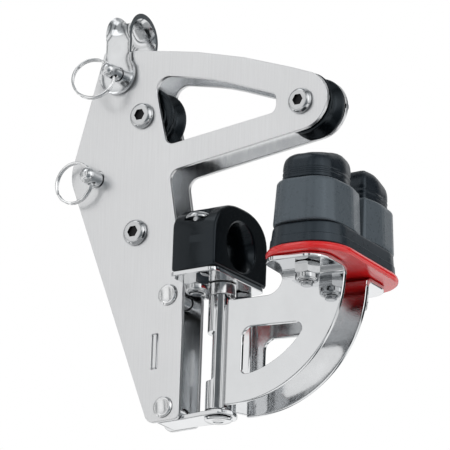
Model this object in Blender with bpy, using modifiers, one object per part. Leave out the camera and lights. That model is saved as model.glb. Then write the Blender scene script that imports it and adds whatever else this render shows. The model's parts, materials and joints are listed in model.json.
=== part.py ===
"""A pivoting lead block with a swinging cam cleat, modelled as it would come apart on a bench.

Two flat side plates carry three ball-bearing sheaves, a formed shackle and a tang pin. A hinge
bracket riveted between the plates carries a bullseye fairlead and a vertical hinge pin, and an
arm folded from sheet swings on that pin with a cam cleat on top of it.

Frame: +X runs along the plates towards the tip sheave, +Y is square to the plates and +Z is up.
The origin is on the axis of the tang pin, midway between the plates. Sizes are in millimetres.
"""
import math

import bmesh
import bpy
from mathutils import Matrix, Vector

MM = 0.001
MERGE = 0.00001
FIT = 0.3                    # gap left between faceted pieces that touch
OVERLAP = 0.02               # how far solids that are joined reach into each other
ROUND = 16                   # sides of a small turned piece
SHEAVE_SIDES = 28

# side plates
PLATE_THICK = 1.7
PLATE_GAP = 11.2
PLATE_IN = PLATE_GAP / 2
PLATE_OUT = PLATE_IN + PLATE_THICK
PLATE_EDGE_X = 40.5
PLATE_BOTTOM_Z = -98.3
PLATE_OUTLINE = [            # x, z, corner radius
    (1.8, 50.0, 2.0), (53.7, 43.0, 300.0), (101.7, 25.4, 11.6), (101.7, 7.9, 11.6),
    (32.2, -1.3, 4.0), (PLATE_EDGE_X, -45.9, 4.0), (PLATE_EDGE_X, PLATE_BOTTOM_Z, 2.0),
    (26.5, PLATE_BOTTOM_Z, 4.0), (-12.0, 2.3, 14.0),
]
WINDOW_OUTLINE = [
    (23.7, 37.4, 5.0), (50.0, 32.2, 90.0), (79.0, 21.8, 3.1), (79.0, 15.0, 3.1), (30.7, 9.0, 4.0),
]
SLOT_AT = (28.8, -70.8)
SLOT_SIZE = (2.8, 13.6)

# sheaves and their axles
AXLES = {"upper": (19.8, 21.9), "tip": (90.2, 17.4), "lower": (18.7, -23.4)}
SHEAVE_R = 11.7
SHEAVE_WIDTH = 9.6
SHEAVE_BORE_R = 6.8
GROOVE_DEPTH = 3.0
AXLE_R = 3.8
AXLE_BORE_R = 2.8
BEAD_RING_R = 5.3
BEAD_R = 1.15
BEADS = 10

# screws, nuts and rivets
SCREW_R = 2.5
SCREW_HOLE_R = 2.8
HEAD_R = 5.0
HEAD_HIGH = 2.2
SOCKET_FLAT = 3.2
NUT_FLATS = 9.2
NUT_HIGH = 6.8
RIVET_R = 2.4
RIVET_HOLE_R = 2.7
RIVET_HEAD_R = 4.1
RIVET_HEAD_HIGH = 0.7
RIVETS = {"upper": (34.0, -49.6), "lower": (33.5, -93.0)}

# clevis pins and split rings
TANG_PIN_R = 3.05
SHACKLE_PIN_R = 2.6
PIN_HEAD_R = 4.4
PIN_HEAD_HIGH = 1.6
PIN_STAND_OUT = 8.6
CROSS_HOLE_R = 1.35
CROSS_HOLE_OUT = 3.6         # cross-hole centre beyond the face the pin comes out of
RING_R = 7.8
RING_WIRE_R = 0.5
TANG_RING_LEAN = math.radians(-10)
SHACKLE_RING_LEAN = math.radians(-22)

# shackle
SHACKLE_AT = (8.7, 39.4)
SHACKLE_THICK = 1.2
SHACKLE_HALF = 5.3
SHACKLE_NARROWING = 0.7      # how much narrower each side is at the crown
SHACKLE_EYE_R = 7.6
SHACKLE_IN = PLATE_OUT + FIT
ARCH_Z = 54.5
SADDLE = 0.6

# hinge bracket and fairlead
HINGE_X = 53.5
BRACKET_THICK = 1.8
SHELF_TOP_Z = -44.6
LUG_TOP_Z = -96.5
LUG_R = 7.0
LUG_ARC = 60.0
LUG_NECK = 4.0
LUG_NECK_SHARE = 0.87
BRACKET_HALF = PLATE_IN - FIT
SPINE_X = 27.85
SHELF_HALF = 17.4
SHELF_INNER_R = 2.0
SHELF_OUTER_R = 4.0
STOP_FAR = 8.6
STOP_NEAR = 6.9
STOP_HALF = 3.0
STOP_LOW = 6.5
STOP_HIGH = 1.0
SHELF_X = (41.1, 61.3)
HINGE_PIN_R = 3.2
HINGE_HEAD_R = 5.3
FAIRLEAD_X = (41.5, 61.1)
FAIRLEAD_HALF = 17.7
FAIRLEAD_WALL = 20.0
FAIRLEAD_CROWN = 26.3
EYE_UP = 11.2
EYE_THROAT_R = 6.6
EYE_MOUTH_R = 9.4
FAIRLEAD_SCREW_X = 51.3
FAIRLEAD_SCREW_Y = 14.1
FAIRLEAD_SEAT = 19.0         # the screw pockets' floor above the block's bottom
FAIRLEAD_ABOVE = 35.0        # clear of the block's crown
POCKET_ROOM = 0.6

# swinging arm, in the arm's own frame: x from the hinge axis, z as in the object
ARM_SWING = math.radians(5)
ARM_THICK = 1.8
WEB_OUT = 9.5
WEB_IN = WEB_OUT - ARM_THICK
WEB_X = 7.6
WEB_TOP_Z = -56.0
QUADRANT_AT = (10.6, -50.9)
QUADRANT_R = 45.5
CUT_OUT_R = 35.0
QUADRANT_ARC = (-93.8, -2.0)
CUT_OUT_ARC = (-78.0, -36.0)
CUT_OUT_LOW = [(14.0, -85.7, 2.2)]
CUT_OUT_HIGH = [(41.0, -67.8, 3.0), (14.0, -67.0, 4.0)]
WEB_CORNER_R = 6.0
FLANGE_X = (30.0, 56.3)
FLANGE_Z = -49.2
FLANGE_OUT = 27.5
FLANGE_OUTER_R = 8.5
FLANGE_INNER_R = 7.0
FLANGE_SINK = 0.9
KNUCKLE_OUT_R = 5.1
KNUCKLE_IN_R = 3.5
KNUCKLE_TOP_Z = -51.5
KNUCKLE_BOTTOM_Z = -95.6
RECESS_Z = (-84.5, -65.5)
RECESS_HALF = 9.0
RECESS_X = 0.4
SHOULDER_X = (3.6, 14.0)
SHOULDER_HALF = 12.0
KNUCKLE_LAP = 2.0
BEND_OUT_BACK = 3.6
BEND_IN_BACK = 2.8

# cam cleat, in the arm's own frame
CLEAT_X = 45.7
CAM_AT = 19.0
RISER_Z = (FLANGE_Z + ARM_THICK + FIT, -44.2)
BASE_Z = (RISER_Z[1] + FIT, -35.7)
RISER_SIZE = (34.8, 62.4)
RISER_CORNER_R = 15.5
BASE_SIZE = (31.2, 59.2)
BASE_CORNER_R = 12.5
CAM_Z = (BASE_Z[1] + FIT, -18.3)
CAP_Z = (CAM_Z[1] + FIT, -5.2)
CAM_OUTLINE = [              # x, towards the other cam, corner radius
    (12.6, -11.0, 10.0), (14.4, 8.0, 24.0), (12.4, 17.8, 1.6), (9.8, 18.0, 1.0),
    (-1.0, 16.4, 30.0), (-9.4, 12.2, 14.0), (-13.6, 4.4, 8.0), (-12.8, -11.0, 10.5),
]
CAP_SCALE = 0.76
POST_R = 4.0
POST_TOP_Z = -15.0
CAM_BORE_R = 7.1
CAM_BEAD_RING_R = 5.55
CAM_BEAD_R = 1.2
SPRING_R = 5.55
SPRING_WIRE_R = 0.8
CAP_HOLE_R = 5.3

STEEL = (0.78, 0.79, 0.80)
BLACK = (0.015, 0.016, 0.018)
GREY = (0.10, 0.12, 0.14)
RED = (0.68, 0.02, 0.025)
WHITE = (0.8, 0.8, 0.78)


def clear_scene():
    for obj in list(bpy.data.objects):
        bpy.data.objects.remove(obj)


def new_collection(name):
    group = bpy.data.collections.new(name)
    bpy.context.scene.collection.children.link(group)
    return group


def new_material(name, colour, roughness, metallic):
    mat = bpy.data.materials.new(name)
    mat.use_nodes = True
    shader = mat.node_tree.nodes["Principled BSDF"]
    shader.inputs["Base Color"].default_value = (*colour, 1)
    shader.inputs["Roughness"].default_value = roughness
    shader.inputs["Metallic"].default_value = metallic
    mat.diffuse_color = (*colour, 1)
    return mat


clear_scene()
PARTS = new_collection("cam_cleat_block")
CUTTERS = new_collection("cutters")
MATERIALS = {
    "brushed": new_material("brushed_stainless", STEEL, 0.35, 1.0),
    "polished": new_material("polished_stainless", STEEL, 0.12, 1.0),
    "black": new_material("black_plastic", BLACK, 0.35, 0.0),
    "grey": new_material("grey_composite", GREY, 0.45, 0.0),
    "red": new_material("red_plastic", RED, 0.3, 0.0),
    "white": new_material("bearing_plastic", WHITE, 0.4, 0.0),
}

# local +Z of a turned piece or outline becomes -Y of the object, and local +Y becomes +Z
FACING_FRONT = Matrix.Rotation(math.pi / 2, 4, "X")


def at(x, y, z):
    return Matrix.Translation(Vector((x, y, z)) * MM)


def link(obj, material, place, group):
    group.objects.link(obj)
    obj.matrix_world = place
    if material:
        obj.data.materials.append(MATERIALS[material])
    if group is CUTTERS:
        obj.hide_render = True
        obj.display_type = "WIRE"
    return obj


def arc(centre, radius, start, end, steps):
    """Points on an arc, angles in degrees."""
    points = []
    for i in range(steps + 1):
        a = math.radians(start + (end - start) * i / steps)
        points.append((centre[0] + radius * math.cos(a), centre[1] + radius * math.sin(a)))
    return points


def rounded(corners, fine=1.0):
    """The outline of a polygon whose corners (x, y, radius) are rounded off with arcs."""
    points = []
    count = len(corners)
    for i, (x, y, radius) in enumerate(corners):
        here = Vector((x, y))
        if radius <= 0:
            points.append((x, y))
            continue
        back = (Vector(corners[i - 1][:2]) - here).normalized()
        ahead = (Vector(corners[(i + 1) % count][:2]) - here).normalized()
        half = back.angle(ahead) / 2
        reach = radius / math.tan(half)
        centre = here + (back + ahead).normalized() * (radius / math.sin(half))
        first = (here + back * reach - centre).normalized()
        last = (here + ahead * reach - centre).normalized()
        turn = math.pi - 2 * half
        steps = max(2, round(fine * math.degrees(turn) / 15))
        for k in range(steps + 1):
            spoke = first.slerp(last, k / steps) * radius
            points.append((centre.x + spoke.x, centre.y + spoke.y))
    return points


def circle(x, y, radius, sides=ROUND):
    return arc((x, y), radius, 0, 360 * (sides - 1) / sides, sides - 1)


def slab(name, loops, thick, material, place, group=PARTS):
    """A flat piece from closed outlines: the first is its edge and the rest are holes.

    The curve is filled in millimetres, because its fill loses points that lie close together,
    and the mesh is then brought to metres.
    """
    curve = bpy.data.curves.new(name, "CURVE")
    curve.dimensions = "2D"
    curve.fill_mode = "BOTH"
    curve.extrude = thick / 2
    for loop in loops:
        spline = curve.splines.new("POLY")
        spline.points.add(len(loop) - 1)
        for point, (x, y) in zip(spline.points, loop):
            point.co = (x, y, 0, 1)
        spline.use_cyclic_u = True
    guide = bpy.data.objects.new(name + "_outline", curve)
    CUTTERS.objects.link(guide)
    bpy.context.view_layer.update()
    graph = bpy.context.evaluated_depsgraph_get()
    mesh = bpy.data.meshes.new_from_object(guide.evaluated_get(graph))
    bpy.data.objects.remove(guide)
    mesh.materials.clear()
    bm = bmesh.new()
    bm.from_mesh(mesh)
    bmesh.ops.scale(bm, vec=(MM, MM, MM), verts=bm.verts)
    bmesh.ops.remove_doubles(bm, verts=bm.verts, dist=MERGE)
    bmesh.ops.recalc_face_normals(bm, faces=bm.faces)
    bm.to_mesh(mesh)
    bm.free()
    return link(bpy.data.objects.new(name, mesh), material, place, group)


def turned(name, profile, material, place, ring=False, sides=ROUND, group=PARTS):
    """A turned piece: (radius, height) points down the outer side, closed where it is a ring."""
    mesh = bpy.data.meshes.new(name)
    count = len(profile)
    edges = [(i, i + 1) for i in range(count - 1)]
    if ring:
        edges.append((count - 1, 0))
    mesh.from_pydata([(r * MM, 0, h * MM) for r, h in profile], edges, [])
    obj = link(bpy.data.objects.new(name, mesh), material, place, group)
    screw = obj.modifiers.new("turn", "SCREW")
    screw.axis = "Z"
    screw.steps = sides
    screw.render_steps = sides
    screw.use_merge_vertices = True
    screw.merge_threshold = MERGE
    return obj


def block(name, low, high, place, material=None, group=CUTTERS):
    """A box between two corners."""
    mesh = bpy.data.meshes.new(name)
    bm = bmesh.new()
    bmesh.ops.create_cube(bm, size=1)
    size = Vector(high) - Vector(low)
    middle = (Vector(high) + Vector(low)) / 2
    bmesh.ops.scale(bm, vec=size * MM, verts=bm.verts)
    bmesh.ops.translate(bm, vec=middle * MM, verts=bm.verts)
    bm.to_mesh(mesh)
    bm.free()
    return link(bpy.data.objects.new(name, mesh), material, place, group)


def rod(name, radius, low, high, place, sides=ROUND, material=None, group=CUTTERS):
    """A plain cylinder along local Z between two heights."""
    mesh = bpy.data.meshes.new(name)
    bm = bmesh.new()
    bmesh.ops.create_cone(bm, cap_ends=True, segments=sides, radius1=radius * MM,
                          radius2=radius * MM, depth=(high - low) * MM)
    bmesh.ops.translate(bm, vec=(0, 0, (low + high) / 2 * MM), verts=bm.verts)
    bm.to_mesh(mesh)
    bm.free()
    return link(bpy.data.objects.new(name, mesh), material, place, group)


def combine(obj, other, operation):
    modifier = obj.modifiers.new(operation.lower(), "BOOLEAN")
    modifier.operation = operation
    modifier.solver = "EXACT"
    modifier.object = other
    return obj


def cut(obj, *cutters):
    for cutter in cutters:
        combine(obj, cutter, "DIFFERENCE")
    return obj


def join(obj, *others):
    for other in others:
        combine(obj, other, "UNION")
    return obj


def hold(piece, empty):
    """Parent a placed piece to an empty on its joint's axis."""
    world = piece.matrix_world.copy()
    piece.parent = empty
    piece.matrix_parent_inverse = empty.matrix_world.inverted()
    piece.matrix_world = world
    return piece


def pivot(name, place):
    empty = bpy.data.objects.new(name, None)
    PARTS.objects.link(empty)
    empty.matrix_world = place
    return empty


def beaded_ring(name, ring_r, bead_r, beads, material, place):
    """A cage and its balls as one bead string: a ring whose section swells at each ball."""
    steps_per_bead = 3
    sides = 4
    steps = beads * steps_per_bead
    bm = bmesh.new()
    rows = []
    for i in range(steps):
        turn = 2 * math.pi * i / steps
        swell = 0.5 + 0.5 * math.cos(turn * beads)
        section = bead_r * (0.45 + 0.55 * swell)
        row = []
        for k in range(sides):
            a = 2 * math.pi * k / sides
            radius = ring_r + section * math.cos(a)
            spot = (radius * math.cos(turn), radius * math.sin(turn), section * math.sin(a))
            row.append(bm.verts.new(Vector(spot) * MM))
        rows.append(row)
    for i, row in enumerate(rows):
        ahead = rows[(i + 1) % steps]
        for k in range(sides):
            j = (k + 1) % sides
            bm.faces.new((row[k], ahead[k], ahead[j], row[j]))
    bmesh.ops.recalc_face_normals(bm, faces=bm.faces)
    mesh = bpy.data.meshes.new(name)
    bm.to_mesh(mesh)
    bm.free()
    return link(bpy.data.objects.new(name, mesh), material, place, PARTS)


def wire_ring(name, ring_r, wire_r, material, place, turns=32, sides=6):
    """A plain closed ring of round wire, its axis along local Z."""
    profile = arc((ring_r, 0), wire_r, 90, 90 - 360 * (sides - 1) / sides, sides - 1)
    return turned(name, profile, material, place, ring=True, sides=turns)


def side_plate(name, middle_y):
    loops = [rounded(PLATE_OUTLINE), rounded(WINDOW_OUTLINE)]
    loops.append(circle(0, 0, TANG_PIN_R + FIT))
    loops.append(circle(*SHACKLE_AT, SHACKLE_PIN_R + FIT))
    for spot in AXLES.values():
        loops.append(circle(*spot, SCREW_HOLE_R))
    for spot in RIVETS.values():
        loops.append(circle(*spot, RIVET_HOLE_R))
    x, z = SLOT_AT
    wide, high = SLOT_SIZE
    loops.append([(x - wide / 2, z - high / 2), (x + wide / 2, z - high / 2),
                  (x + wide / 2, z + high / 2), (x - wide / 2, z + high / 2)])
    return slab(name, loops, PLATE_THICK, "brushed", at(0, middle_y, 0) @ FACING_FRONT)


def button_screw(name, place, length, material="polished"):
    """A button-head screw with a hex socket, its head above local z = 0."""
    profile = [(0, HEAD_HIGH), (2.6, HEAD_HIGH), (4.0, 1.6), (HEAD_R, 0.5), (HEAD_R, 0),
               (SCREW_R, 0), (SCREW_R, 0.4 - length), (SCREW_R - 0.4, -length), (0, -length)]
    screw = turned(name, profile, material, place)
    socket = rod(name + "_socket", SOCKET_FLAT / math.sqrt(3), 0.7, HEAD_HIGH + 1, place, sides=6)
    return cut(screw, socket)


def lock_nut(name, place):
    """A nylock nut hanging down from local z = 0, with its domed collar below."""
    hex_high = NUT_HIGH * 0.62
    body = rod(name, NUT_FLATS / math.sqrt(3), -hex_high, 0, place, 6, "polished", PARTS)
    collar = turned(name + "_collar", [(0, 0.5 - hex_high), (4.3, 0.5 - hex_high),
                                       (4.3, 1.2 - NUT_HIGH), (3.6, 0.3 - NUT_HIGH),
                                       (3.0, -NUT_HIGH), (0, -NUT_HIGH)],
                    None, place, group=CUTTERS)
    bore = rod(name + "_bore", SCREW_HOLE_R, -NUT_HIGH - 1, 1, place)
    return cut(join(body, collar), bore)


def rivet(name, x, z):
    reach = PLATE_OUT + FIT
    half = [(0, reach + RIVET_HEAD_HIGH), (RIVET_HEAD_R - 0.8, reach + RIVET_HEAD_HIGH),
            (RIVET_HEAD_R, reach + 0.3), (RIVET_HEAD_R, reach), (RIVET_R, reach)]
    other = [(r, -h) for r, h in reversed(half)]
    return turned(name, half + other, "polished", at(x, 0, z) @ FACING_FRONT)


def clevis_pin(name, x, z, radius, out_y, lean):
    """A headed pin with a domed end in front and a cross hole for its ring."""
    tip = out_y + PIN_STAND_OUT
    dome = [(radius * math.sin(math.radians(a)), tip - radius * (1 - math.cos(math.radians(a))))
            for a in (0, 22, 45, 68, 90)]
    back = -(out_y + FIT)
    profile = dome + [(radius, back), (PIN_HEAD_R, back), (PIN_HEAD_R, back - 1.0),
                      (PIN_HEAD_R - 0.6, back - PIN_HEAD_HIGH), (0, back - PIN_HEAD_HIGH)]
    pin = turned(name, profile, "polished", at(x, 0, z) @ FACING_FRONT)
    hole_place = at(x, -(out_y + CROSS_HOLE_OUT), z) @ Matrix.Rotation(lean, 4, "Y")
    hole = rod(name + "_cross_hole", CROSS_HOLE_R, -radius - 2, radius + 2, hole_place, sides=12)
    return cut(pin, hole)


def split_ring(name, x, z, out_y, lean, swing):
    """A ring threaded through a pin's cross hole, hanging to the pin's -X side."""
    hinge = at(x, -(out_y + CROSS_HOLE_OUT), z) @ Matrix.Rotation(lean, 4, "Y")
    empty = pivot(name + "_pivot", hinge)
    slack = 0.3              # the ring's wire sits this far off the hole's axis at its middle
    local = Matrix.Rotation(swing, 4, "Z") @ at(-RING_R + slack, 0, 0) @ FACING_FRONT
    return hold(wire_ring(name, RING_R, RING_WIRE_R, "polished", hinge @ local), empty)


def shackle():
    """A strap bent over both plates: round eyes on the pin, and a saddle-shaped arch."""
    x, z = SHACKLE_AT
    empty = pivot("shackle_pivot", at(x, 0, z))
    across = 4
    radius = SHACKLE_IN
    path = [(-radius, z), (-radius, (z + ARCH_Z) / 2)]
    path += [(y, h) for y, h in arc((0, ARCH_Z), radius, 180, 0, 12)]
    path += [(radius, (z + ARCH_Z) / 2), (radius, z)]
    bm = bmesh.new()
    rows = []
    for y, h in path:
        swell = max(0.0, (h - ARCH_Z) / radius)
        half = SHACKLE_HALF - SHACKLE_NARROWING * swell
        row = []
        for k in range(across + 1):
            s = 2 * k / across - 1
            lift = SADDLE * swell * s * s
            ray = Vector((0, y, h - ARCH_Z)).normalized() * lift if h > ARCH_Z else Vector()
            spot = Vector((x + s * half, y, h)) + ray
            row.append(bm.verts.new(spot * MM))
        rows.append(row)
    for near, far in zip(rows, rows[1:]):
        for k in range(across):
            bm.faces.new((near[k], near[k + 1], far[k + 1], far[k]))
    mesh = bpy.data.meshes.new("shackle")
    bm.to_mesh(mesh)
    bm.free()
    strap = link(bpy.data.objects.new("shackle", mesh), "polished", at(0, 0, 0), PARTS)
    strap.data.update()
    wall = strap.modifiers.new("wall", "SOLIDIFY")
    wall.thickness = SHACKLE_THICK * MM
    wall.offset = 1
    eye_mid = radius + SHACKLE_THICK / 2
    eyes = []
    for side in (-1, 1):
        place = at(x, side * eye_mid, z) @ FACING_FRONT
        eye = slab(f"shackle_eye_{side}", [circle(0, 0, SHACKLE_EYE_R, 24)], SHACKLE_THICK - OVERLAP,
                   None, place, CUTTERS)
        eyes.append(eye)
    join(strap, *eyes)
    bore = rod("shackle_bore", SHACKLE_PIN_R + FIT, -20, 20, at(x, 0, z) @ FACING_FRONT)
    cut(strap, bore)
    return hold(strap, empty)


def sheave(name, x, z):
    half = SHEAVE_WIDTH / 2
    lip = half - 0.9
    side = [(SHEAVE_BORE_R, half - 0.6), (SHEAVE_BORE_R + 0.5, half), (SHEAVE_R - 0.5, half),
            (SHEAVE_R, half - 0.5)]
    groove = arc((SHEAVE_R + 1.6, 0), GROOVE_DEPTH + 1.6, 128, 232, 4)
    profile = side + [(SHEAVE_R, lip)] + groove + [(SHEAVE_R, -lip)]
    profile += [(r, -h) for r, h in reversed(side)]
    empty = pivot(name + "_axis", at(x, 0, z))
    place = at(x, 0, z) @ FACING_FRONT
    wheel = turned(name, profile, "black", place, ring=True, sides=SHEAVE_SIDES)
    return hold(wheel, empty)


def axle_set(name, x, z):
    """One axle barrel, its two screws, and the ball ring that the sheave runs on."""
    half = PLATE_IN - FIT
    tube = [(AXLE_R - 0.3, half), (AXLE_R, half - 0.3), (AXLE_R, 0.3 - half), (AXLE_R - 0.3, -half),
            (AXLE_BORE_R, -half), (AXLE_BORE_R, half)]
    turned("axle_" + name, tube, "polished", at(x, 0, z) @ FACING_FRONT, ring=True)
    front = at(x, -PLATE_OUT - FIT, z) @ FACING_FRONT
    back = at(x, PLATE_OUT + FIT, z) @ Matrix.Rotation(-math.pi / 2, 4, "X")
    button_screw(f"axle_screw_{name}_front", front, PLATE_THICK + 5)
    button_screw(f"axle_screw_{name}_back", back, PLATE_THICK + 5)
    sheave("sheave_" + name, x, z)
    empty = pivot(f"balls_{name}_axis", at(x, 0, z))
    place = at(x, 0, z) @ FACING_FRONT
    hold(beaded_ring("ball_ring_" + name, BEAD_RING_R, BEAD_R, BEADS, "white", place), empty)


def hinge_bracket():
    """A C of strap between the plates: spine with side tabs, T-shaped shelf, and lug."""
    spine_high = SPINE_X + BRACKET_THICK
    shelf_z = SHELF_TOP_Z - BRACKET_THICK / 2
    lug_z = LUG_TOP_Z - BRACKET_THICK / 2
    root = BRACKET_HALF
    shelf_outline = rounded([(SPINE_X, -root, 0), (SHELF_X[0], -root, 0),
                             (SHELF_X[0], -SHELF_HALF, SHELF_INNER_R),
                             (SHELF_X[1], -SHELF_HALF, SHELF_OUTER_R),
                             (SHELF_X[1], SHELF_HALF, SHELF_OUTER_R),
                             (SHELF_X[0], SHELF_HALF, SHELF_INNER_R),
                             (SHELF_X[0], root, 0), (SPINE_X, root, 0)])
    shelf_holes = [circle(HINGE_X, 0, HINGE_PIN_R + FIT)]
    for side in (-1, 1):
        shelf_holes.append(circle(FAIRLEAD_SCREW_X, side * FAIRLEAD_SCREW_Y, SCREW_HOLE_R))
    shelf = slab("hinge_bracket", [shelf_outline] + shelf_holes, BRACKET_THICK, "polished",
                 at(0, 0, shelf_z))
    end = arc((HINGE_X, 0), LUG_R, -LUG_ARC, LUG_ARC, 10)
    clear_x = PLATE_EDGE_X + 0.5
    lug_outline = [(SPINE_X, -root), (clear_x, -root),
                   (HINGE_X - LUG_NECK, -LUG_R * LUG_NECK_SHARE)] + end
    lug_outline += [(HINGE_X - LUG_NECK, LUG_R * LUG_NECK_SHARE), (clear_x, root), (SPINE_X, root)]
    lug = slab("bracket_lug", [lug_outline, circle(HINGE_X, 0, HINGE_PIN_R + FIT)],
               BRACKET_THICK, None, at(0, 0, lug_z), CUTTERS)
    spine = block("bracket_spine", (SPINE_X, -root, LUG_TOP_Z - BRACKET_THICK + OVERLAP),
                  (spine_high, root, SHELF_TOP_Z - OVERLAP), at(0, 0, 0))
    slot_x, slot_z = SLOT_AT
    tab_half = SLOT_SIZE[1] / 2 - FIT
    tabs = block("bracket_tabs", (SPINE_X + 0.1, -PLATE_OUT, slot_z - tab_half),
                 (spine_high - 0.1, PLATE_OUT, slot_z + tab_half), at(0, 0, 0))
    stop = block("bracket_stop", (HINGE_X - STOP_FAR, -STOP_HALF, SHELF_TOP_Z - STOP_LOW),
                 (HINGE_X - STOP_NEAR, STOP_HALF, SHELF_TOP_Z - STOP_HIGH), at(0, 0, 0))
    return join(shelf, spine, tabs, lug, stop)


def hinge_pin():
    """The vertical hinge pin, riveted over under the lug and headed on top of the shelf."""
    top = SHELF_TOP_Z + FIT
    low = LUG_TOP_Z - BRACKET_THICK - FIT
    profile = [(0, top + 0.9), (HINGE_PIN_R + 0.9, top + 0.9), (HINGE_PIN_R + 1.2, top),
               (HINGE_PIN_R, top), (HINGE_PIN_R, low), (HINGE_HEAD_R, low),
               (HINGE_HEAD_R - 0.5, low - 0.6), (0, low - 0.8)]
    return turned("hinge_pin", profile, "polished", at(HINGE_X, 0, 0))


def fairlead():
    """A loaf-shaped plastic block with a bullseye through it and two screws down its ends."""
    low, high = FAIRLEAD_X
    half = FAIRLEAD_HALF
    wall = FAIRLEAD_WALL
    crown = FAIRLEAD_CROWN
    bottom = SHELF_TOP_Z + FIT
    outline = rounded([(-half, 0, 1.0), (half, 0, 1.0), (half, wall, 7.0), (half - 9, crown, 14.0),
                       (9 - half, crown, 14.0), (-half, wall, 7.0)])
    # local x is the object's +Y, local y its +Z and local z its +X
    along_x = Matrix(((0, 0, 1, 0), (1, 0, 0, 0), (0, 1, 0, 0), (0, 0, 0, 1)))
    middle = (low + high) / 2
    wide = high - low
    body = slab("fairlead", [outline], wide, "black", at(middle, 0, bottom) @ along_x)
    reach = wide / 2 + 1
    flare = EYE_MOUTH_R - EYE_THROAT_R
    eye = [(0, reach), (EYE_MOUTH_R + 0.6, reach), (EYE_MOUTH_R, wide / 2),
           (EYE_THROAT_R + flare * 0.3, wide * 0.36), (EYE_THROAT_R, wide * 0.16),
           (EYE_THROAT_R, -wide * 0.16), (EYE_THROAT_R + flare * 0.3, -wide * 0.36),
           (EYE_MOUTH_R, -wide / 2), (EYE_MOUTH_R + 0.6, -reach), (0, -reach)]
    bore = turned("fairlead_eye", eye, None, at(middle, 0, bottom + EYE_UP) @ along_x,
                  sides=28, group=CUTTERS)
    cutters = [bore]
    for side in (-1, 1):
        spot = at(FAIRLEAD_SCREW_X, side * FAIRLEAD_SCREW_Y, bottom)
        cutters.append(rod(f"fairlead_hole_{side}", SCREW_HOLE_R, -1, FAIRLEAD_ABOVE, spot))
        cutters.append(rod(f"fairlead_recess_{side}", HEAD_R + POCKET_ROOM, FAIRLEAD_SEAT,
                           FAIRLEAD_ABOVE, spot))
    cutters.append(rod("fairlead_pin_recess", HINGE_PIN_R + 1.8, -1, 1.6, at(HINGE_X, 0, bottom)))
    return cut(body, *cutters)


def fairlead_fixings():
    bottom = SHELF_TOP_Z + FIT
    for side, word in ((-1, "front"), (1, "back")):
        y = side * FAIRLEAD_SCREW_Y
        seat = bottom + FAIRLEAD_SEAT + FIT
        low = SHELF_TOP_Z - BRACKET_THICK - FIT
        button_screw("fairlead_screw_" + word, at(FAIRLEAD_SCREW_X, y, seat),
                     seat - (low - NUT_HIGH - 0.6))
        lock_nut("fairlead_nut_" + word, at(FAIRLEAD_SCREW_X, y, low))


def arm(frame):
    """The folded arm: two quadrant webs, their outward flanges, and the knuckles on the pin."""
    web_outline = [(x, z, 0) for x, z in arc(QUADRANT_AT, QUADRANT_R, *QUADRANT_ARC, 16)]
    web_outline += [(FLANGE_X[1], FLANGE_Z + FLANGE_SINK, 0), (FLANGE_X[0], FLANGE_Z + FLANGE_SINK, 0),
                    (FLANGE_X[0], WEB_TOP_Z, WEB_CORNER_R), (WEB_X, WEB_TOP_Z, 1.0)]
    hypotenuse = [(x, z, 0) for x, z in arc(QUADRANT_AT, CUT_OUT_R, *CUT_OUT_ARC, 7)]
    cut_out = CUT_OUT_LOW + hypotenuse + CUT_OUT_HIGH
    loops = [rounded(web_outline), rounded(cut_out)]
    webs = []
    for side in (-1, 1):
        place = frame @ at(0, side * (WEB_OUT - ARM_THICK / 2), 0) @ FACING_FRONT
        group = PARTS if side < 0 else CUTTERS
        webs.append(slab("swing_arm" if side < 0 else "arm_web_back", loops, ARM_THICK,
                         "polished", place, group))
    flanges = []
    for side in (-1, 1):
        outer = side * FLANGE_OUT
        outline = rounded([(FLANGE_X[0] + OVERLAP, side * (WEB_IN + OVERLAP), 0),
                           (FLANGE_X[1] - OVERLAP, side * (WEB_IN + OVERLAP), 0),
                           (FLANGE_X[1] - OVERLAP, outer, FLANGE_OUTER_R),
                           (FLANGE_X[0] + OVERLAP, outer, FLANGE_INNER_R)])
        flanges.append(slab(f"arm_flange_{side}", [outline, circle(CLEAT_X, side * CAM_AT, SCREW_HOLE_R)],
                            ARM_THICK, None, frame @ at(0, 0, FLANGE_Z + ARM_THICK / 2), CUTTERS))
    bend_out = KNUCKLE_OUT_R
    bend_in = KNUCKLE_IN_R
    side = WEB_OUT - OVERLAP
    lap_x = WEB_X + KNUCKLE_LAP
    outer = [(lap_x, side), (WEB_X - 0.4, side), (WEB_X - BEND_OUT_BACK, bend_out)]
    outer += arc((0, 0), bend_out, 90, 270, 12)
    outer += [(WEB_X - BEND_OUT_BACK, -bend_out), (WEB_X - 0.4, -side), (lap_x, -side)]
    inner = [(lap_x, -WEB_IN), (WEB_X + 0.5, -WEB_IN), (WEB_X - BEND_IN_BACK, -bend_in)]
    inner += arc((0, 0), bend_in, 270, 90, 12)
    inner += [(WEB_X - BEND_IN_BACK, bend_in), (WEB_X + 0.5, WEB_IN), (lap_x, WEB_IN)]
    high = KNUCKLE_TOP_Z - KNUCKLE_BOTTOM_Z
    fold = slab("arm_fold", [outer + inner], high, None,
                frame @ at(0, 0, (KNUCKLE_TOP_Z + KNUCKLE_BOTTOM_Z) / 2), CUTTERS)
    recess = block("arm_recess", (-RECESS_HALF, -RECESS_HALF, RECESS_Z[0]),
                   (RECESS_X, RECESS_HALF, RECESS_Z[1]), frame)
    shoulder = block("arm_shoulder", (SHOULDER_X[0], -SHOULDER_HALF, WEB_TOP_Z),
                     (SHOULDER_X[1], SHOULDER_HALF, KNUCKLE_TOP_Z + 2), frame)
    cut(fold, recess, shoulder)
    return join(webs[0], webs[1], *flanges, fold)


def obround(size, r):
    half_x = size[0] / 2
    half_y = size[1] / 2
    return rounded([(CLEAT_X - half_x, -half_y, r), (CLEAT_X + half_x, -half_y, r),
                    (CLEAT_X + half_x, half_y, r), (CLEAT_X - half_x, half_y, r)])


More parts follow.
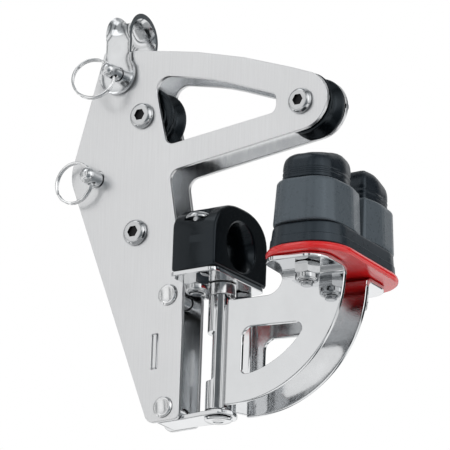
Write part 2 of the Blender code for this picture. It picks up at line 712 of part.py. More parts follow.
def cleat(frame, arm_pivot):
    """Everything above the arm's flanges: riser, base, posts, cams, caps and fasteners."""
    holes = [circle(CLEAT_X, side * CAM_AT, SCREW_HOLE_R) for side in (-1, 1)]
    riser = slab("riser_plate", [obround(RISER_SIZE, RISER_CORNER_R)] + holes,
                 RISER_Z[1] - RISER_Z[0], "red",
                 frame @ at(0, 0, sum(RISER_Z) / 2))
    base = slab("cleat_base", [obround(BASE_SIZE, BASE_CORNER_R)] + holes, BASE_Z[1] - BASE_Z[0], "black",
                frame @ at(0, 0, sum(BASE_Z) / 2))
    hold(riser, arm_pivot)
    hold(base, arm_pivot)
    for side, word in ((-1, "near"), (1, "far")):
        axis = frame @ at(CLEAT_X, side * CAM_AT, 0)
        mirror = 1 if side < 0 else -1
        post = turned("cam_post_" + word,
                      [(POST_R - 0.3, POST_TOP_Z), (POST_R, POST_TOP_Z - 0.3), (POST_R, BASE_Z[1] + FIT),
                       (SCREW_HOLE_R, BASE_Z[1] + FIT), (SCREW_HOLE_R, POST_TOP_Z)],
                      "polished", axis, ring=True)
        hold(post, arm_pivot)
        seat = POST_TOP_Z + FIT
        low = FLANGE_Z - FIT
        hold(button_screw("cleat_screw_" + word, axis @ at(0, 0, seat), seat - (low - NUT_HIGH - 1.6)),
             arm_pivot)
        hold(lock_nut("cleat_nut_" + word, axis @ at(0, 0, low)), arm_pivot)
        spring = wire_ring("cam_spring_" + word, SPRING_R, SPRING_WIRE_R, "polished",
                           axis @ at(0, 0, CAM_Z[0] + 2.2), turns=24, sides=6)
        hold(spring, arm_pivot)
        ball_pivot = pivot(f"cam_balls_{word}_axis", axis)
        hold(beaded_ring("cam_ball_ring_" + word, CAM_BEAD_RING_R, CAM_BEAD_R, 10, "white",
                         axis @ at(0, 0, CAM_Z[1] - 3.2)), ball_pivot)
        cam_pivot = pivot(f"cam_{word}_axis", axis)
        outline = rounded([(x, mirror * y, r) for x, y, r in CAM_OUTLINE])
        cam = slab("cam_" + word, [outline, circle(0, 0, CAM_BORE_R)], CAM_Z[1] - CAM_Z[0], "grey",
                   axis @ at(0, 0, sum(CAM_Z) / 2))
        hold(cam, cam_pivot)
        shrink = rounded([(x * CAP_SCALE, mirror * y * CAP_SCALE, r * CAP_SCALE)
                          for x, y, r in CAM_OUTLINE])
        cap = slab("cam_cap_" + word, [shrink, circle(0, 0, CAP_HOLE_R)], CAP_Z[1] - CAP_Z[0],
                   "black", axis @ at(0, 0, sum(CAP_Z) / 2))
        hold(cap, cam_pivot)


def main():
    side_plate("side_plate_front", -(PLATE_IN + PLATE_THICK / 2))
    side_plate("side_plate_back", PLATE_IN + PLATE_THICK / 2)
    for name, (x, z) in AXLES.items():
        axle_set(name, x, z)
    for name, (x, z) in RIVETS.items():
        rivet("rivet_" + name, x, z)
    clevis_pin("tang_pin", 0, 0, TANG_PIN_R, PLATE_OUT, TANG_RING_LEAN)
    split_ring("tang_ring", 0, 0, PLATE_OUT, TANG_RING_LEAN, 0.0)
    shackle_out = SHACKLE_IN + SHACKLE_THICK
    clevis_pin("shackle_pin", *SHACKLE_AT, SHACKLE_PIN_R, shackle_out, SHACKLE_RING_LEAN)
    split_ring("shackle_ring", *SHACKLE_AT, shackle_out, SHACKLE_RING_LEAN, math.radians(22))
    shackle()
    hinge_bracket()
    hinge_pin()
    fairlead()
    fairlead_fixings()
    arm_frame = at(HINGE_X, 0, 0) @ Matrix.Rotation(ARM_SWING, 4, "Z")
    arm_pivot = pivot("arm_axis", arm_frame)
    hold(arm(arm_frame), arm_pivot)
    for word, low, high in (("upper", KNUCKLE_TOP_Z + FIT, SHELF_TOP_Z - BRACKET_THICK - FIT),
                            ("lower", LUG_TOP_Z + 0.2, KNUCKLE_BOTTOM_Z - 0.2)):
        washer = [(5.0, high), (5.0, low), (HINGE_PIN_R + FIT, low), (HINGE_PIN_R + FIT, high)]
        turned("hinge_bush_" + word, washer, "black", at(HINGE_X, 0, 0), ring=True)
    cleat(arm_frame, arm_pivot)
    bpy.context.view_layer.update()


main()
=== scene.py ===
"""The looks of a pivoting lead block with a swinging cam cleat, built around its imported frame.

Pieces are shaped in millimetres, in the object's own frame (+X towards the tip sheave, +Y square
to the plates, +Z up), and each is brought to metres once it is whole.
"""
import json
import math

import bmesh
import bpy
from mathutils import Matrix, Vector
from mathutils.geometry import tessellate_polygon


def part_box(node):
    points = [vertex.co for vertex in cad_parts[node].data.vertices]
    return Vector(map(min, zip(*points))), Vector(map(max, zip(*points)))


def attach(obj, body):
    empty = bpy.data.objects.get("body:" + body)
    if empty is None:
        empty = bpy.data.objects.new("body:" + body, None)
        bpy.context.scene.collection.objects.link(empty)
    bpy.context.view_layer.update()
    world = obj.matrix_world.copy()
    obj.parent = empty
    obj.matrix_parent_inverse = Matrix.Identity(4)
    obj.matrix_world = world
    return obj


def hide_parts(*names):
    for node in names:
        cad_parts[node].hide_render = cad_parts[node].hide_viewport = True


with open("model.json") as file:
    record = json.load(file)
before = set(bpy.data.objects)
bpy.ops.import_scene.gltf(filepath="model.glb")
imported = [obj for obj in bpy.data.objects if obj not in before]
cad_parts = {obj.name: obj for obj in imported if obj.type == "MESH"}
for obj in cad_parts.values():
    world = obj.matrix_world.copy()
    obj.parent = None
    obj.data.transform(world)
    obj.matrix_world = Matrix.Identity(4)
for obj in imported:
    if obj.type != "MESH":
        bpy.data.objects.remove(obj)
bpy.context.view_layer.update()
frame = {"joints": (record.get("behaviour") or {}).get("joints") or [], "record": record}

TO_METRES = Matrix.Scale(0.001, 4)
WELD = 0.0005               # points closer than this are one point
CREASE = math.radians(27)   # a sharper edge than this is shaded sharp
MOULDED_CREASE = math.radians(35)
FINE = 64                   # sides of a turned piece
SHEET = 1.8                 # thickness of the bracket's and the arm's steel sheet
PROUD = 0.004               # keeps the faces of two joined sheets from coinciding
SHANK_R = 2.5               # the button screws
HEAD_TALL = 2.2
HOLE_R = 2.8                # their clearance holes
FRONT = Matrix.Rotation(math.pi / 2, 4, "X")        # local z to -Y, local y to +Z
BACK = Matrix.Rotation(-math.pi / 2, 4, "X")        # local z to +Y
ALONG_X = Matrix(((0, 0, 1, 0), (1, 0, 0, 0), (0, 1, 0, 0), (0, 0, 0, 1)))  # z to +X, x to +Y
NODE_BODY = {node: body for body, nodes in frame["record"]["behaviour"]["bodies"].items()
             for node in nodes}
JOINTS = {joint["name"]: joint for joint in frame["joints"]}


def at(x, y, z):
    return Matrix.Translation((x, y, z))


def mm_box(node):
    low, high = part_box(node)
    return low * 1000, high * 1000


def middle(node):
    low, high = mm_box(node)
    return (low + high) / 2


def joint_at(name):
    return Vector(JOINTS[name]["pos_m"]) * 1000


ARM_SWING = math.radians(5)
ARM = Matrix.Translation((joint_at("arm_swing").x, 0, 0)) @ Matrix.Rotation(ARM_SWING, 4, "Z")
CLEAT_X = 45.7              # the two cams' axes, from the arm's hinge
CAM_AT = 19.0


# ---------------------------------------------------------------- materials

def add_node(tree, kind, **values):
    node = tree.nodes.new(kind)
    for key, value in values.items():
        if hasattr(node, key):
            setattr(node, key, value)
        else:
            node.inputs[key].default_value = value
    return node


def finish_of(name, colour, rough, metal=0.0, grain=900, grain_z=None, shade=0.06,
              rough_swing=0.05, bump=0.15, depth=0.00001, cloud=60, cloud_shade=0.05, **sockets):
    """A procedural finish: fine grain and slow clouds vary the colour, gloss and surface.

    grain and cloud are the noises' scales per metre; brushed metal has a lower grain_z.
    """
    mat = bpy.data.materials.new(name)
    mat.use_nodes = True
    tree = mat.node_tree
    shader = tree.nodes["Principled BSDF"]
    shader.inputs["Metallic"].default_value = metal
    for socket, value in sockets.items():
        shader.inputs[socket.replace("_", " ")].default_value = value
    spot = add_node(tree, "ShaderNodeTexCoord")
    stretch = add_node(tree, "ShaderNodeMapping", Scale=(grain, grain, grain_z or grain))
    fine = add_node(tree, "ShaderNodeTexNoise", Scale=1.0, Detail=3.0, Roughness=0.6)
    slow = add_node(tree, "ShaderNodeTexNoise", Scale=cloud, Detail=2.0, Roughness=0.5)
    tree.links.new(spot.outputs["Object"], stretch.inputs["Vector"])
    tree.links.new(stretch.outputs["Vector"], fine.inputs["Vector"])
    tree.links.new(spot.outputs["Object"], slow.inputs["Vector"])
    cloud_share = cloud_shade / max(shade, 0.001)
    both = add_node(tree, "ShaderNodeMath", operation="MULTIPLY_ADD")
    both.inputs[1].default_value = cloud_share
    tree.links.new(slow.outputs["Fac"], both.inputs[0])
    tree.links.new(fine.outputs["Fac"], both.inputs[2])
    scaled = add_node(tree, "ShaderNodeMath", operation="DIVIDE")
    scaled.inputs[1].default_value = 1 + cloud_share
    tree.links.new(both.outputs[0], scaled.inputs[0])
    tone = add_node(tree, "ShaderNodeValToRGB")
    swing = shade + cloud_shade
    for end, position, factor in zip(tone.color_ramp.elements, (0.25, 0.75), (1 - swing, 1 + swing)):
        end.position = position
        end.color = (*[min(1, c * factor) for c in colour], 1)
    tree.links.new(scaled.outputs[0], tone.inputs["Fac"])
    tree.links.new(tone.outputs["Color"], shader.inputs["Base Color"])
    gloss = add_node(tree, "ShaderNodeMapRange")
    gloss.inputs["From Min"].default_value = 0.3
    gloss.inputs["From Max"].default_value = 0.7
    gloss.inputs["To Min"].default_value = max(0.02, rough - rough_swing)
    gloss.inputs["To Max"].default_value = rough + rough_swing
    tree.links.new(fine.outputs["Fac"], gloss.inputs["Value"])
    tree.links.new(gloss.outputs["Result"], shader.inputs["Roughness"])
    relief = add_node(tree, "ShaderNodeBump", Strength=bump, Distance=depth)
    tree.links.new(fine.outputs["Fac"], relief.inputs["Height"])
    tree.links.new(relief.outputs["Normal"], shader.inputs["Normal"])
    return mat


COOL = (0.76, 0.89, 1.0, 1.0)       # tint of the mouldings' gloss
BRUSHED = finish_of("brushed_steel", (0.805, 0.81, 0.817), 0.34, 1.0, grain=1500, grain_z=45,
                    shade=0.05, bump=0.25, cloud=45, cloud_shade=0.02)
INNER = finish_of("mill_steel", (0.84, 0.85, 0.86), 0.17, 1.0, grain=500, grain_z=60, shade=0.05,
                  bump=0.2, cloud=80)
TUMBLED = finish_of("tumbled_steel", (0.72, 0.73, 0.74), 0.17, 1.0, grain=350, shade=0.04,
                    cloud=120)
HEAD_STEEL = finish_of("head_steel", (0.58, 0.59, 0.60), 0.13, 1.0, grain=350, shade=0.05,
                       cloud=150, cloud_shade=0.06)
NUT_STEEL = finish_of("nut_steel", (0.52, 0.53, 0.54), 0.11, 1.0, grain=300, shade=0.05,
                      depth=0.00002, cloud=200, cloud_shade=0.08)
# a duller, slightly darker steel for the arm's insides; the darkening is painted shade
INSIDE_SHADE_STEEL = finish_of("shaded_steel", (0.68, 0.69, 0.70), 0.11, 1.0, grain=300, depth=0.00002,
                   cloud=80, cloud_shade=0.08)
SATIN = finish_of("satin_steel", (0.83, 0.835, 0.84), 0.2, 1.0, grain=420, shade=0.02,
                  rough_swing=0.04, bump=0.2, depth=0.000006, cloud=70, cloud_shade=0.03)
MIRROR = finish_of("mirror_steel", (0.70, 0.71, 0.72), 0.065, 1.0, grain=240, shade=0.015,
                   rough_swing=0.025, bump=0.1, depth=0.00002, cloud=90, cloud_shade=0.02)
WIRE = finish_of("wire_steel", (0.84, 0.845, 0.85), 0.16, 1.0, grain=800, shade=0.04, bump=0.2)
SOCKET = finish_of("socket_shadow", (0.03, 0.03, 0.032), 0.45, 0.8, shade=0.2, depth=0.00002)
EYE_BLACK = finish_of("eye_moulding", (0.002, 0.003, 0.0042), 0.21, grain=500, shade=0.15,
                      rough_swing=0.04, bump=0.05, cloud_shade=0.1, Specular_IOR_Level=0.42,
                      Specular_Tint=COOL)
SHEAVE_BLACK = finish_of("sheave_moulding", (0.001, 0.002, 0.003), 0.24, shade=0.2, bump=0.1,
                         Specular_IOR_Level=0.4, Specular_Tint=COOL)
BASE_BLACK = finish_of("base_moulding", (0.020, 0.027, 0.034), 0.31, grain=500, shade=0.12,
                       bump=0.08, cloud_shade=0.1, Specular_Tint=COOL)
CAP_BLACK = finish_of("cap_moulding", (0.0085, 0.0125, 0.0175), 0.31, grain=1100, shade=0.12,
                      rough_swing=0.07, bump=0.3, depth=0.00003, cloud=150, cloud_shade=0.12,
                      Specular_Tint=COOL)
CAM_GREY = finish_of("cam_composite", (0.100, 0.119, 0.135), 0.29, grain=500, shade=0.04,
                     rough_swing=0.04, bump=0.06, depth=0.00002, cloud=90, cloud_shade=0.06,
                     Specular_Tint=COOL)
RED = finish_of("red_moulding", (0.90, 0.020, 0.022), 0.22, grain=500, shade=0.04,
                rough_swing=0.04, bump=0.05, cloud_shade=0.04, Coat_Weight=0.35,
                Coat_Roughness=0.12)
NYLON = finish_of("nylon", (0.72, 0.73, 0.72), 0.4, shade=0.05, bump=0.2, depth=0.00002)


# ---------------------------------------------------------------- shapes

def arc(centre, radius, start, end, steps):
    """Points on a round stretch, its ends in degrees."""
    points = []
    for i in range(steps + 1):
        a = math.radians(start + (end - start) * i / steps)
        points.append((centre[0] + radius * math.cos(a), centre[1] + radius * math.sin(a)))
    return points


def circle(x, y, radius):
    sides = 40
    return arc((x, y), radius, 0, 360 * (sides - 1) / sides, sides - 1)


def rounded(corners, step=6.0):
    """A polygon's outline, with its corners (x, y, radius) rounded off."""
    points = []
    count = len(corners)
    for i, (x, y, radius) in enumerate(corners):
        here = Vector((x, y))
        if radius <= 0:
            points.append((x, y))
            continue
        back = (Vector(corners[i - 1][:2]) - here).normalized()
        ahead = (Vector(corners[(i + 1) % count][:2]) - here).normalized()
        half = back.angle(ahead) / 2
        reach = radius / math.tan(half)
        centre = here + (back + ahead).normalized() * (radius / math.sin(half))
        first = (here + back * reach - centre).normalized()
        last = (here + ahead * reach - centre).normalized()
        steps = max(2, round(math.degrees(math.pi - 2 * half) / step))
        for k in range(steps + 1):
            spoke = first.slerp(last, k / steps) * radius
            points.append((centre.x + spoke.x, centre.y + spoke.y))
    return points


def box_loop(x, y, half_x, half_y, radius, step=6.0):
    return rounded([(x - half_x, y - half_y, radius), (x + half_x, y - half_y, radius),
                    (x + half_x, y + half_y, radius), (x - half_x, y + half_y, radius)], step)


def signed_area(loop):
    return sum(x0 * y1 - x1 * y0 for (x0, y0), (x1, y1) in zip(loop, loop[1:] + loop[:1])) / 2


def inset(loop, depth):
    """The loop moved to its left by depth, with corners mitred up to a limit."""
    moved = []
    count = len(loop)
    for i in range(count):
        here = Vector(loop[i])
        before = (here - Vector(loop[i - 1])).normalized()
        after = (Vector(loop[(i + 1) % count]) - here).normalized()
        left = Vector((-before.y - after.y, before.x + after.x))
        if left.length < 1e-6:
            left = Vector((-before.y, before.x))
        left.normalize()
        stretch = max(0.45, left.dot(Vector((-before.y, before.x))))
        moved.append(tuple(here + left * (depth / stretch)))
    return moved


def mesh_object(name, bm, place):
    bmesh.ops.remove_doubles(bm, verts=bm.verts, dist=WELD)
    bmesh.ops.recalc_face_normals(bm, faces=bm.faces)
    mesh = bpy.data.meshes.new(name)
    bm.to_mesh(mesh)
    bm.free()
    mesh.transform(place)
    obj = bpy.data.objects.new(name, mesh)
    bpy.context.scene.collection.objects.link(obj)
    return obj


def slab(name, loops, thick, place, soft=0.3):
    """A flat piece with softened edges: the first loop is its edge and the rest are holes."""
    turned_loops = []
    for i, loop in enumerate(loops):
        forward = signed_area(loop) > 0
        turned_loops.append(list(loop) if forward == (i == 0) else list(reversed(loop)))
    half = thick / 2
    edge = [(0.0, 1.0), (0.13, 0.5), (0.5, 0.13), (1.0, 0.0)] if soft else [(0.0, 0.0)]
    levels = [(-half + rise * soft, back * soft) for rise, back in edge]
    levels += [(-height, back) for height, back in reversed(levels)]
    bm = bmesh.new()
    caps = {}
    for loop in turned_loops:
        rings = []
        for height, depth in levels:
            points = inset(loop, depth) if depth else loop
            rings.append([bm.verts.new((x, y, height)) for x, y in points])
        for low, high in zip(rings, rings[1:]):
            for k in range(len(loop)):
                j = (k + 1) % len(loop)
                bm.faces.new((low[k], low[j], high[j], high[k]))
        caps.setdefault("low", []).append(rings[0])
        caps.setdefault("high", []).append(rings[-1])
    for rings in caps.values():
        flat = [v for ring in rings for v in ring]
        for a, b, c in tessellate_polygon([[v.co.copy() for v in ring] for ring in rings]):
            if len({a, b, c}) == 3:
                bm.faces.new((flat[a], flat[b], flat[c]))
    return mesh_object(name, bm, place)


def lathe(name, profile, place, sides=FINE, ring=False):
    """A turned piece from (radius, height) points."""
    bm = bmesh.new()
    rows = []
    for radius, height in profile:
        if radius < 1e-6:
            rows.append([bm.verts.new((0, 0, height))])
            continue
        rows.append([bm.verts.new((radius * math.cos(2 * math.pi * k / sides),
                                   radius * math.sin(2 * math.pi * k / sides), height))
                     for k in range(sides)])
    pairs = list(zip(rows, rows[1:])) + ([(rows[-1], rows[0])] if ring else [])
    for low, high in pairs:
        for k in range(sides):
            j = (k + 1) % sides
            corners = []
            for v in (low[k % len(low)], low[j % len(low)], high[j % len(high)],
                      high[k % len(high)]):
                if v not in corners:
                    corners.append(v)
            bm.faces.new(corners)
    return mesh_object(name, bm, place)


def drill(radius, top, bottom, place, sides=32):
    """The cylinder that a hole takes away."""
    return lathe("hole", [(0, top), (radius, top), (radius, bottom), (0, bottom)], place, sides)


def loft(name, rings, place):
    """A closed skin over rings of equally many points, capped flat at both ends."""
    bm = bmesh.new()
    rows = [[bm.verts.new(p) for p in ring] for ring in rings]
    count = len(rows[0])
    for low, high in zip(rows, rows[1:]):
        for k in range(count):
            j = (k + 1) % count
            bm.faces.new((low[k], low[j], high[j], high[k]))
    for row in (rows[0], rows[-1]):
        for a, b, c in tessellate_polygon([[v.co.copy() for v in row]]):
            if len({a, b, c}) == 3:
                bm.faces.new((row[a], row[b], row[c]))
    return mesh_object(name, bm, place)


def tube(name, path, radius, place):
    """A round wire along an open path, with rounded ends."""
    sides = 12
    bm = bmesh.new()
    rows = []
    count = len(path)
    side = Vector((0, 0, 1))
    for i, point in enumerate(path):
        ahead = (path[min(i + 1, count - 1)] - path[max(i - 1, 0)]).normalized()
        side = (side - ahead * side.dot(ahead)).normalized()
        across = ahead.cross(side)
        rows.append([bm.verts.new(point + (side * math.cos(2 * math.pi * k / sides)
                                           + across * math.sin(2 * math.pi * k / sides)) * radius)
                     for k in range(sides)])
    for low, high in zip(rows, rows[1:]):
        for k in range(sides):
            j = (k + 1) % sides
            bm.faces.new((low[k], low[j], high[j], high[k]))
    for row, end, sign in ((rows[0], path[0], -1), (rows[-1], path[-1], 1)):
        inward = path[1] - path[0] if sign < 0 else path[-1] - path[-2]
        tip = bm.verts.new(end + inward.normalized() * radius * 0.6 * sign)
        for k in range(sides):
            bm.faces.new((row[k], row[(k + 1) % sides], tip))
    return mesh_object(name, bm, place)


def apply_modifiers(obj):
    """Makes the modifiers' result the object's own mesh."""
    graph = bpy.context.evaluated_depsgraph_get()
    mesh = bpy.data.meshes.new_from_object(obj.evaluated_get(graph))
    obj.modifiers.clear()
    obj.data = mesh
    return obj


def combine(obj, others, operation):
    """Booleans the others into obj, in millimetres, and removes them."""
    for other in others:
        step = obj.modifiers.new("step", "BOOLEAN")
        step.operation = operation
        step.solver = "EXACT"
        step.object = other
    apply_modifiers(obj)
    for other in others:
        bpy.data.objects.remove(other)
    return obj


def cut(obj, *others):
    return combine(obj, others, "DIFFERENCE")


def join(obj, *others):
    return combine(obj, others, "UNION")


def paint(obj, *materials):
    obj.data.materials.clear()
    for mat in materials:
        obj.data.materials.append(mat)
    return obj


def show(obj, node, *materials, crease=CREASE):
    """Brings a finished piece to metres and puts it in the place of its CAD node."""
    if materials:
        paint(obj, *materials)
    obj.data.transform(TO_METRES)
    obj.data.shade_smooth()
    obj.data.set_sharp_from_angle(angle=crease)
    even = obj.modifiers.new("even", "WEIGHTED_NORMAL")
    even.mode = "FACE_AREA"
    even.keep_sharp = True
    apply_modifiers(obj)
    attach(obj, NODE_BODY[node])
    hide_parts(node)
    return obj


def sleeve(node, outer, inner, low, high, chamfer, place):
    """A plain turned tube with chamfered ends."""
    profile = [(outer - chamfer, high), (outer, high - chamfer), (outer, low + chamfer),
               (outer - chamfer, low), (inner, low), (inner, high)]
    return show(lathe(node + "_look", profile, place, ring=True), node, SATIN)


def smooth_steps(points, per_span=4):
    """The profile with a Catmull-Rom curve through its points."""
    dense = []
    count = len(points)
    for i in range(count - 1):
        p0, p1, p2, p3 = (Vector(points[max(0, min(count - 1, i + d))]) for d in (-1, 0, 1, 2))
        for k in range(per_span):
            t = k / per_span
            dense.append(tuple(0.5 * (2 * p1 + (p2 - p0) * t
                                      + (2 * p0 - 5 * p1 + 4 * p2 - p3) * t * t
                                      + (3 * p1 - p0 - 3 * p2 + p3) * t ** 3)))
    return dense + [tuple(points[-1])]


def eased(t):
    """0 to 1 with a soft start and end."""
    t = max(0.0, min(1.0, t))
    return t * t * (3 - 2 * t)


# ---------------------------------------------------------------- side plates

PLATE_OUTLINE = [           # x, z, corner radius
    (1.8, 50.0, 2.0), (53.7, 43.0, 300.0), (101.7, 25.4, 11.6), (101.7, 7.9, 11.6),
    (32.2, -1.3, 4.0), (40.5, -45.9, 4.0), (40.5, -98.3, 2.0), (26.5, -98.3, 4.0),
    (-12.0, 2.3, 14.0),
]
WINDOW_OUTLINE = [
    (23.7, 37.4, 5.0), (50.0, 32.2, 90.0), (79.0, 21.8, 3.1), (79.0, 15.0, 3.1), (30.7, 9.0, 4.0),
]
PLATE_HOLES = {"tang_pin": 3.35, "shackle_pin": 2.9, "axle_upper": HOLE_R, "axle_tip": HOLE_R,
               "axle_lower": HOLE_R, "rivet_upper": 2.7, "rivet_lower": 2.7}
SLOT_X = 28.8               # the slots for the hinge bracket's tabs
SLOT_Z = -70.8


def side_plate(word, outward):
    node = "side_plate_" + word
    low, high = mm_box(node)
    loops = [rounded(PLATE_OUTLINE, 4), rounded(WINDOW_OUTLINE, 4)]
    for name, radius in PLATE_HOLES.items():
        spot = middle(name)
        loops.append(circle(spot.x, spot.z, radius))
    loops.append(box_loop(SLOT_X, SLOT_Z, 1.4, 6.8, 0.5, 20))
    plate = slab(node + "_look", loops, high.y - low.y, at(0, (low.y + high.y) / 2, 0) @ FRONT,
                 soft=0.35)
    paint(plate, BRUSHED, INNER)
    for face in plate.data.polygons:
        if face.normal.y * outward < -0.75:
            face.material_index = 1
    return show(plate, node)


for word, outward in (("front", -1), ("back", 1)):
    side_plate(word, outward)


# ---------------------------------------------------------------- screws, nuts, rivets, pins

def button_screw(node, place, length):
    """A button-head screw with a hex socket, its head above local z = 0."""
    pitch = 0.8
    root_r = 2.12
    hex_r = 2.3
    profile = [(0, HEAD_TALL), (3.55, HEAD_TALL), (3.9, 2.1), (4.35, 1.75), (4.75, 1.2),
               (4.95, 0.65), (5.0, 0.3), (4.92, 0.06), (4.8, 0.0), (SHANK_R, 0.0)]
    for i in range(int((length - 1.5) / pitch)):
        crest = -1.0 - pitch * i
        profile += [(SHANK_R, crest), (root_r, crest - pitch / 2)]
    profile += [(2.3, 0.3 - length), (1.9, -length), (0, -length)]
    screw = paint(lathe(node + "_look", profile, place), HEAD_STEEL, SOCKET)
    key = paint(lathe("key", [(0, 3.5), (hex_r, 3.5), (hex_r, 1.0), (0, 0.55)], place, sides=6),
                HEAD_STEEL, SOCKET)
    for face in key.data.polygons:
        face.material_index = 1
    cut(screw, key)
    return show(screw, node)


def lock_nut(node, place):
    """A nylock nut hanging down from local z = 0."""
    corner_r = 5.31
    tall = 4.2
    prism = lathe(node + "_look", [(0, 0), (corner_r, 0), (corner_r, -tall), (0, -tall)], place, 6)
    crown = lathe("crown", [(0, 0.5), (4.6, 0.5), (4.75, 0.0), (5.4, -0.45), (5.4, 0.45 - tall),
                            (4.6, -tall), (4.3, -tall - 0.15), (0, -tall - 0.15)], place)
    combine(prism, [crown], "INTERSECT")
    collar = lathe("collar", [(0, -3.6), (4.4, -3.6), (4.4, -5.6), (4.25, -6.15), (3.85, -6.6),
                              (3.3, -6.8), (0, -6.8)], place)
    join(prism, collar)
    cut(prism, drill(HOLE_R, 1, -9, place, 40))
    return show(prism, node, NUT_STEEL)


def rivet(node):
    low, high = mm_box(node)
    spot = middle(node)
    reach = (high.y - low.y) / 2
    half = [(0, reach - 0.12), (2.9, reach - 0.12), (3.15, reach), (3.5, reach - 0.05),
            (3.9, reach - 0.35), (4.1, reach - 0.65), (4.1, reach - 0.75), (2.4, reach - 0.75)]
    other = [(r, -h) for r, h in reversed(half)]
    return show(lathe(node + "_look", half + other, at(spot.x, 0, spot.z) @ FRONT), node, SATIN)


for name in ("upper", "tip", "lower"):
    for word, turn in (("front", FRONT), ("back", BACK)):
        node = f"axle_screw_{name}_{word}"
        low, high = mm_box(node)
        spot = middle(node)
        seat = low.y + HEAD_TALL if word == "front" else high.y - HEAD_TALL
        button_screw(node, at(spot.x, seat, spot.z) @ turn, high.y - low.y - HEAD_TALL)
for node in ("rivet_upper", "rivet_lower"):
    rivet(node)


def clevis_pin(node, radius, lean):
    """A headed pin with a domed end in front and a drilled hole for its ring."""
    low, high = mm_box(node)
    spot = middle(node)
    tip = -low.y
    head_r = 4.4
    head_thick = 1.6
    dome = [(radius * math.sin(math.radians(a)),
             tip - radius * 0.8 * (1 - math.cos(math.radians(a)))) for a in range(0, 91, 10)]
    back = head_thick - high.y
    profile = dome + [(radius, back), (head_r, back), (head_r, back - 1.0), (4.2, back - 1.35),
                      (3.8, back - head_thick), (0, back - head_thick)]
    pin = lathe(node + "_look", profile, at(spot.x, 0, spot.z) @ FRONT)
    hole_y = joint_at("tang_ring_swing" if node == "tang_pin" else "shackle_ring_swing").y
    place = at(spot.x, hole_y, spot.z) @ Matrix.Rotation(lean, 4, "Y")
    flare = [lathe("flare", [(0, s * 9), (2.1, s * 9), (2.1, s * (radius + 0.1)),
                             (1.3, s * (radius - 0.7)), (0, s * (radius - 0.7))], place, 32)
             for s in (-1, 1)]
    cut(pin, drill(1.35, 9, -9, place), *flare)
    return show(pin, node, TUMBLED)


TANG_LEAN = math.radians(-10)
SHACKLE_LEAN = math.radians(-22)
clevis_pin("tang_pin", 3.05, TANG_LEAN)
clevis_pin("shackle_pin", 2.6, SHACKLE_LEAN)


def split_ring(node, joint, lean, swing):
    """Two turns of wire side by side, with the crossover where a split ring has it."""
    ring_r = 7.8
    wire = 0.47
    turns = 1.985
    steps = 168
    hinge = Matrix.Translation(joint_at(joint)) @ Matrix.Rotation(lean, 4, "Y")
    place = hinge @ Matrix.Rotation(swing, 4, "Z") @ at(-ring_r + 0.3, 0, 0) @ FRONT
    path = []
    for i in range(steps + 1):
        turn = i / steps * turns
        across = eased((turn - 0.85) / 0.25)
        angle = turn * 2 * math.pi + math.radians(200)
        path.append(Vector((ring_r * math.cos(angle), ring_r * math.sin(angle),
                            (across * 2 - 1) * wire)))
    return show(tube(node + "_look", path, wire, place), node, WIRE)


split_ring("tang_ring", "tang_ring_swing", TANG_LEAN, 0.0)
split_ring("shackle_ring", "shackle_ring_swing", SHACKLE_LEAN, math.radians(22))


# ---------------------------------------------------------------- shackle

EYE_R = 7.6                 # the shackle's round ends
STRAP_HALF = 5.3            # half the width of its strap


def strap_lift(across, up, rise):
    """How far the strap's face stands out: a cup round the pin, and a channel with raised rims."""
    cup = min(1.15, math.hypot(across, up) / EYE_R) ** 4 * 0.55
    edge = min(1.2, abs(across) / STRAP_HALF)
    channel = 0.2 * edge ** 5 + 2.1 * rise * edge ** 2.4
    share = eased((up - 2.5) / 7.0)
    return cup * (1 - share) + channel * share


def shackle():
    """A strap bent over both plates: raised rims, dished eyes and a saddle-shaped crown."""
    spot = middle("shackle_pin")
    x, z = spot.x, spot.z
    bend_r = 7.6
    crown_z = 52.8
    grid_half = 8.4
    leg_steps = 36
    straight = [z - grid_half + (crown_z - z + grid_half) * k / leg_steps
                for k in range(leg_steps + 1)]
    line = [(-bend_r, h) for h in straight]
    line += arc((0, crown_z), bend_r, 180, 0, 60)[1:]
    line += [(bend_r, h) for h in reversed(straight[:-1])]
    across = 32
    bm = bmesh.new()
    rows = []
    for y, h in line:
        rise = max(0.0, (h - crown_z) / bend_r)
        out = Vector((0, y, h - crown_z if h > crown_z else 0)).normalized()
        offsets = [grid_half * (2 * k / across - 1) for k in range(across + 1)]
        rows.append([bm.verts.new(Vector((x + dx, y, h)) + out * strap_lift(dx, h - z, rise))
                     for dx in offsets])
    for near, far in zip(rows, rows[1:]):
        for k in range(across):
            bm.faces.new((near[k], near[k + 1], far[k + 1], far[k]))
    strap = mesh_object("shackle_look", bm, Matrix.Identity(4))
    crown_face = max(strap.data.polygons, key=lambda face: face.center.z)
    wall = strap.modifiers.new("wall", "SOLIDIFY")
    wall.thickness = 1.2
    wall.offset = 1 if crown_face.normal.z > 0 else -1
    wall.use_even_offset = False
    apply_modifiers(strap)
    outline = arc((0, 0), EYE_R, -222, 42, 60)
    outline += [(STRAP_HALF + 0.05, 7.2), (STRAP_HALF, 9.0), (STRAP_HALF, 30.0),
                (-STRAP_HALF, 30.0), (-STRAP_HALF, 9.0), (-STRAP_HALF - 0.05, 7.2)]
    blank = slab("blank", [outline], 60, at(x, 0, z) @ FRONT, soft=0)
    combine(strap, [blank], "INTERSECT")
    cut(strap, drill(PLATE_HOLES["shackle_pin"], 20, -20, at(x, 0, z) @ FRONT, 48))
    rim = strap.modifiers.new("rim", "BEVEL")
    rim.width = 0.32
    rim.segments = 3
    rim.limit_method = "ANGLE"
    rim.angle_limit = math.radians(50)
    apply_modifiers(strap)
    return show(strap, "shackle", TUMBLED, crease=math.radians(38))


shackle()


# ---------------------------------------------------------------- sheaves

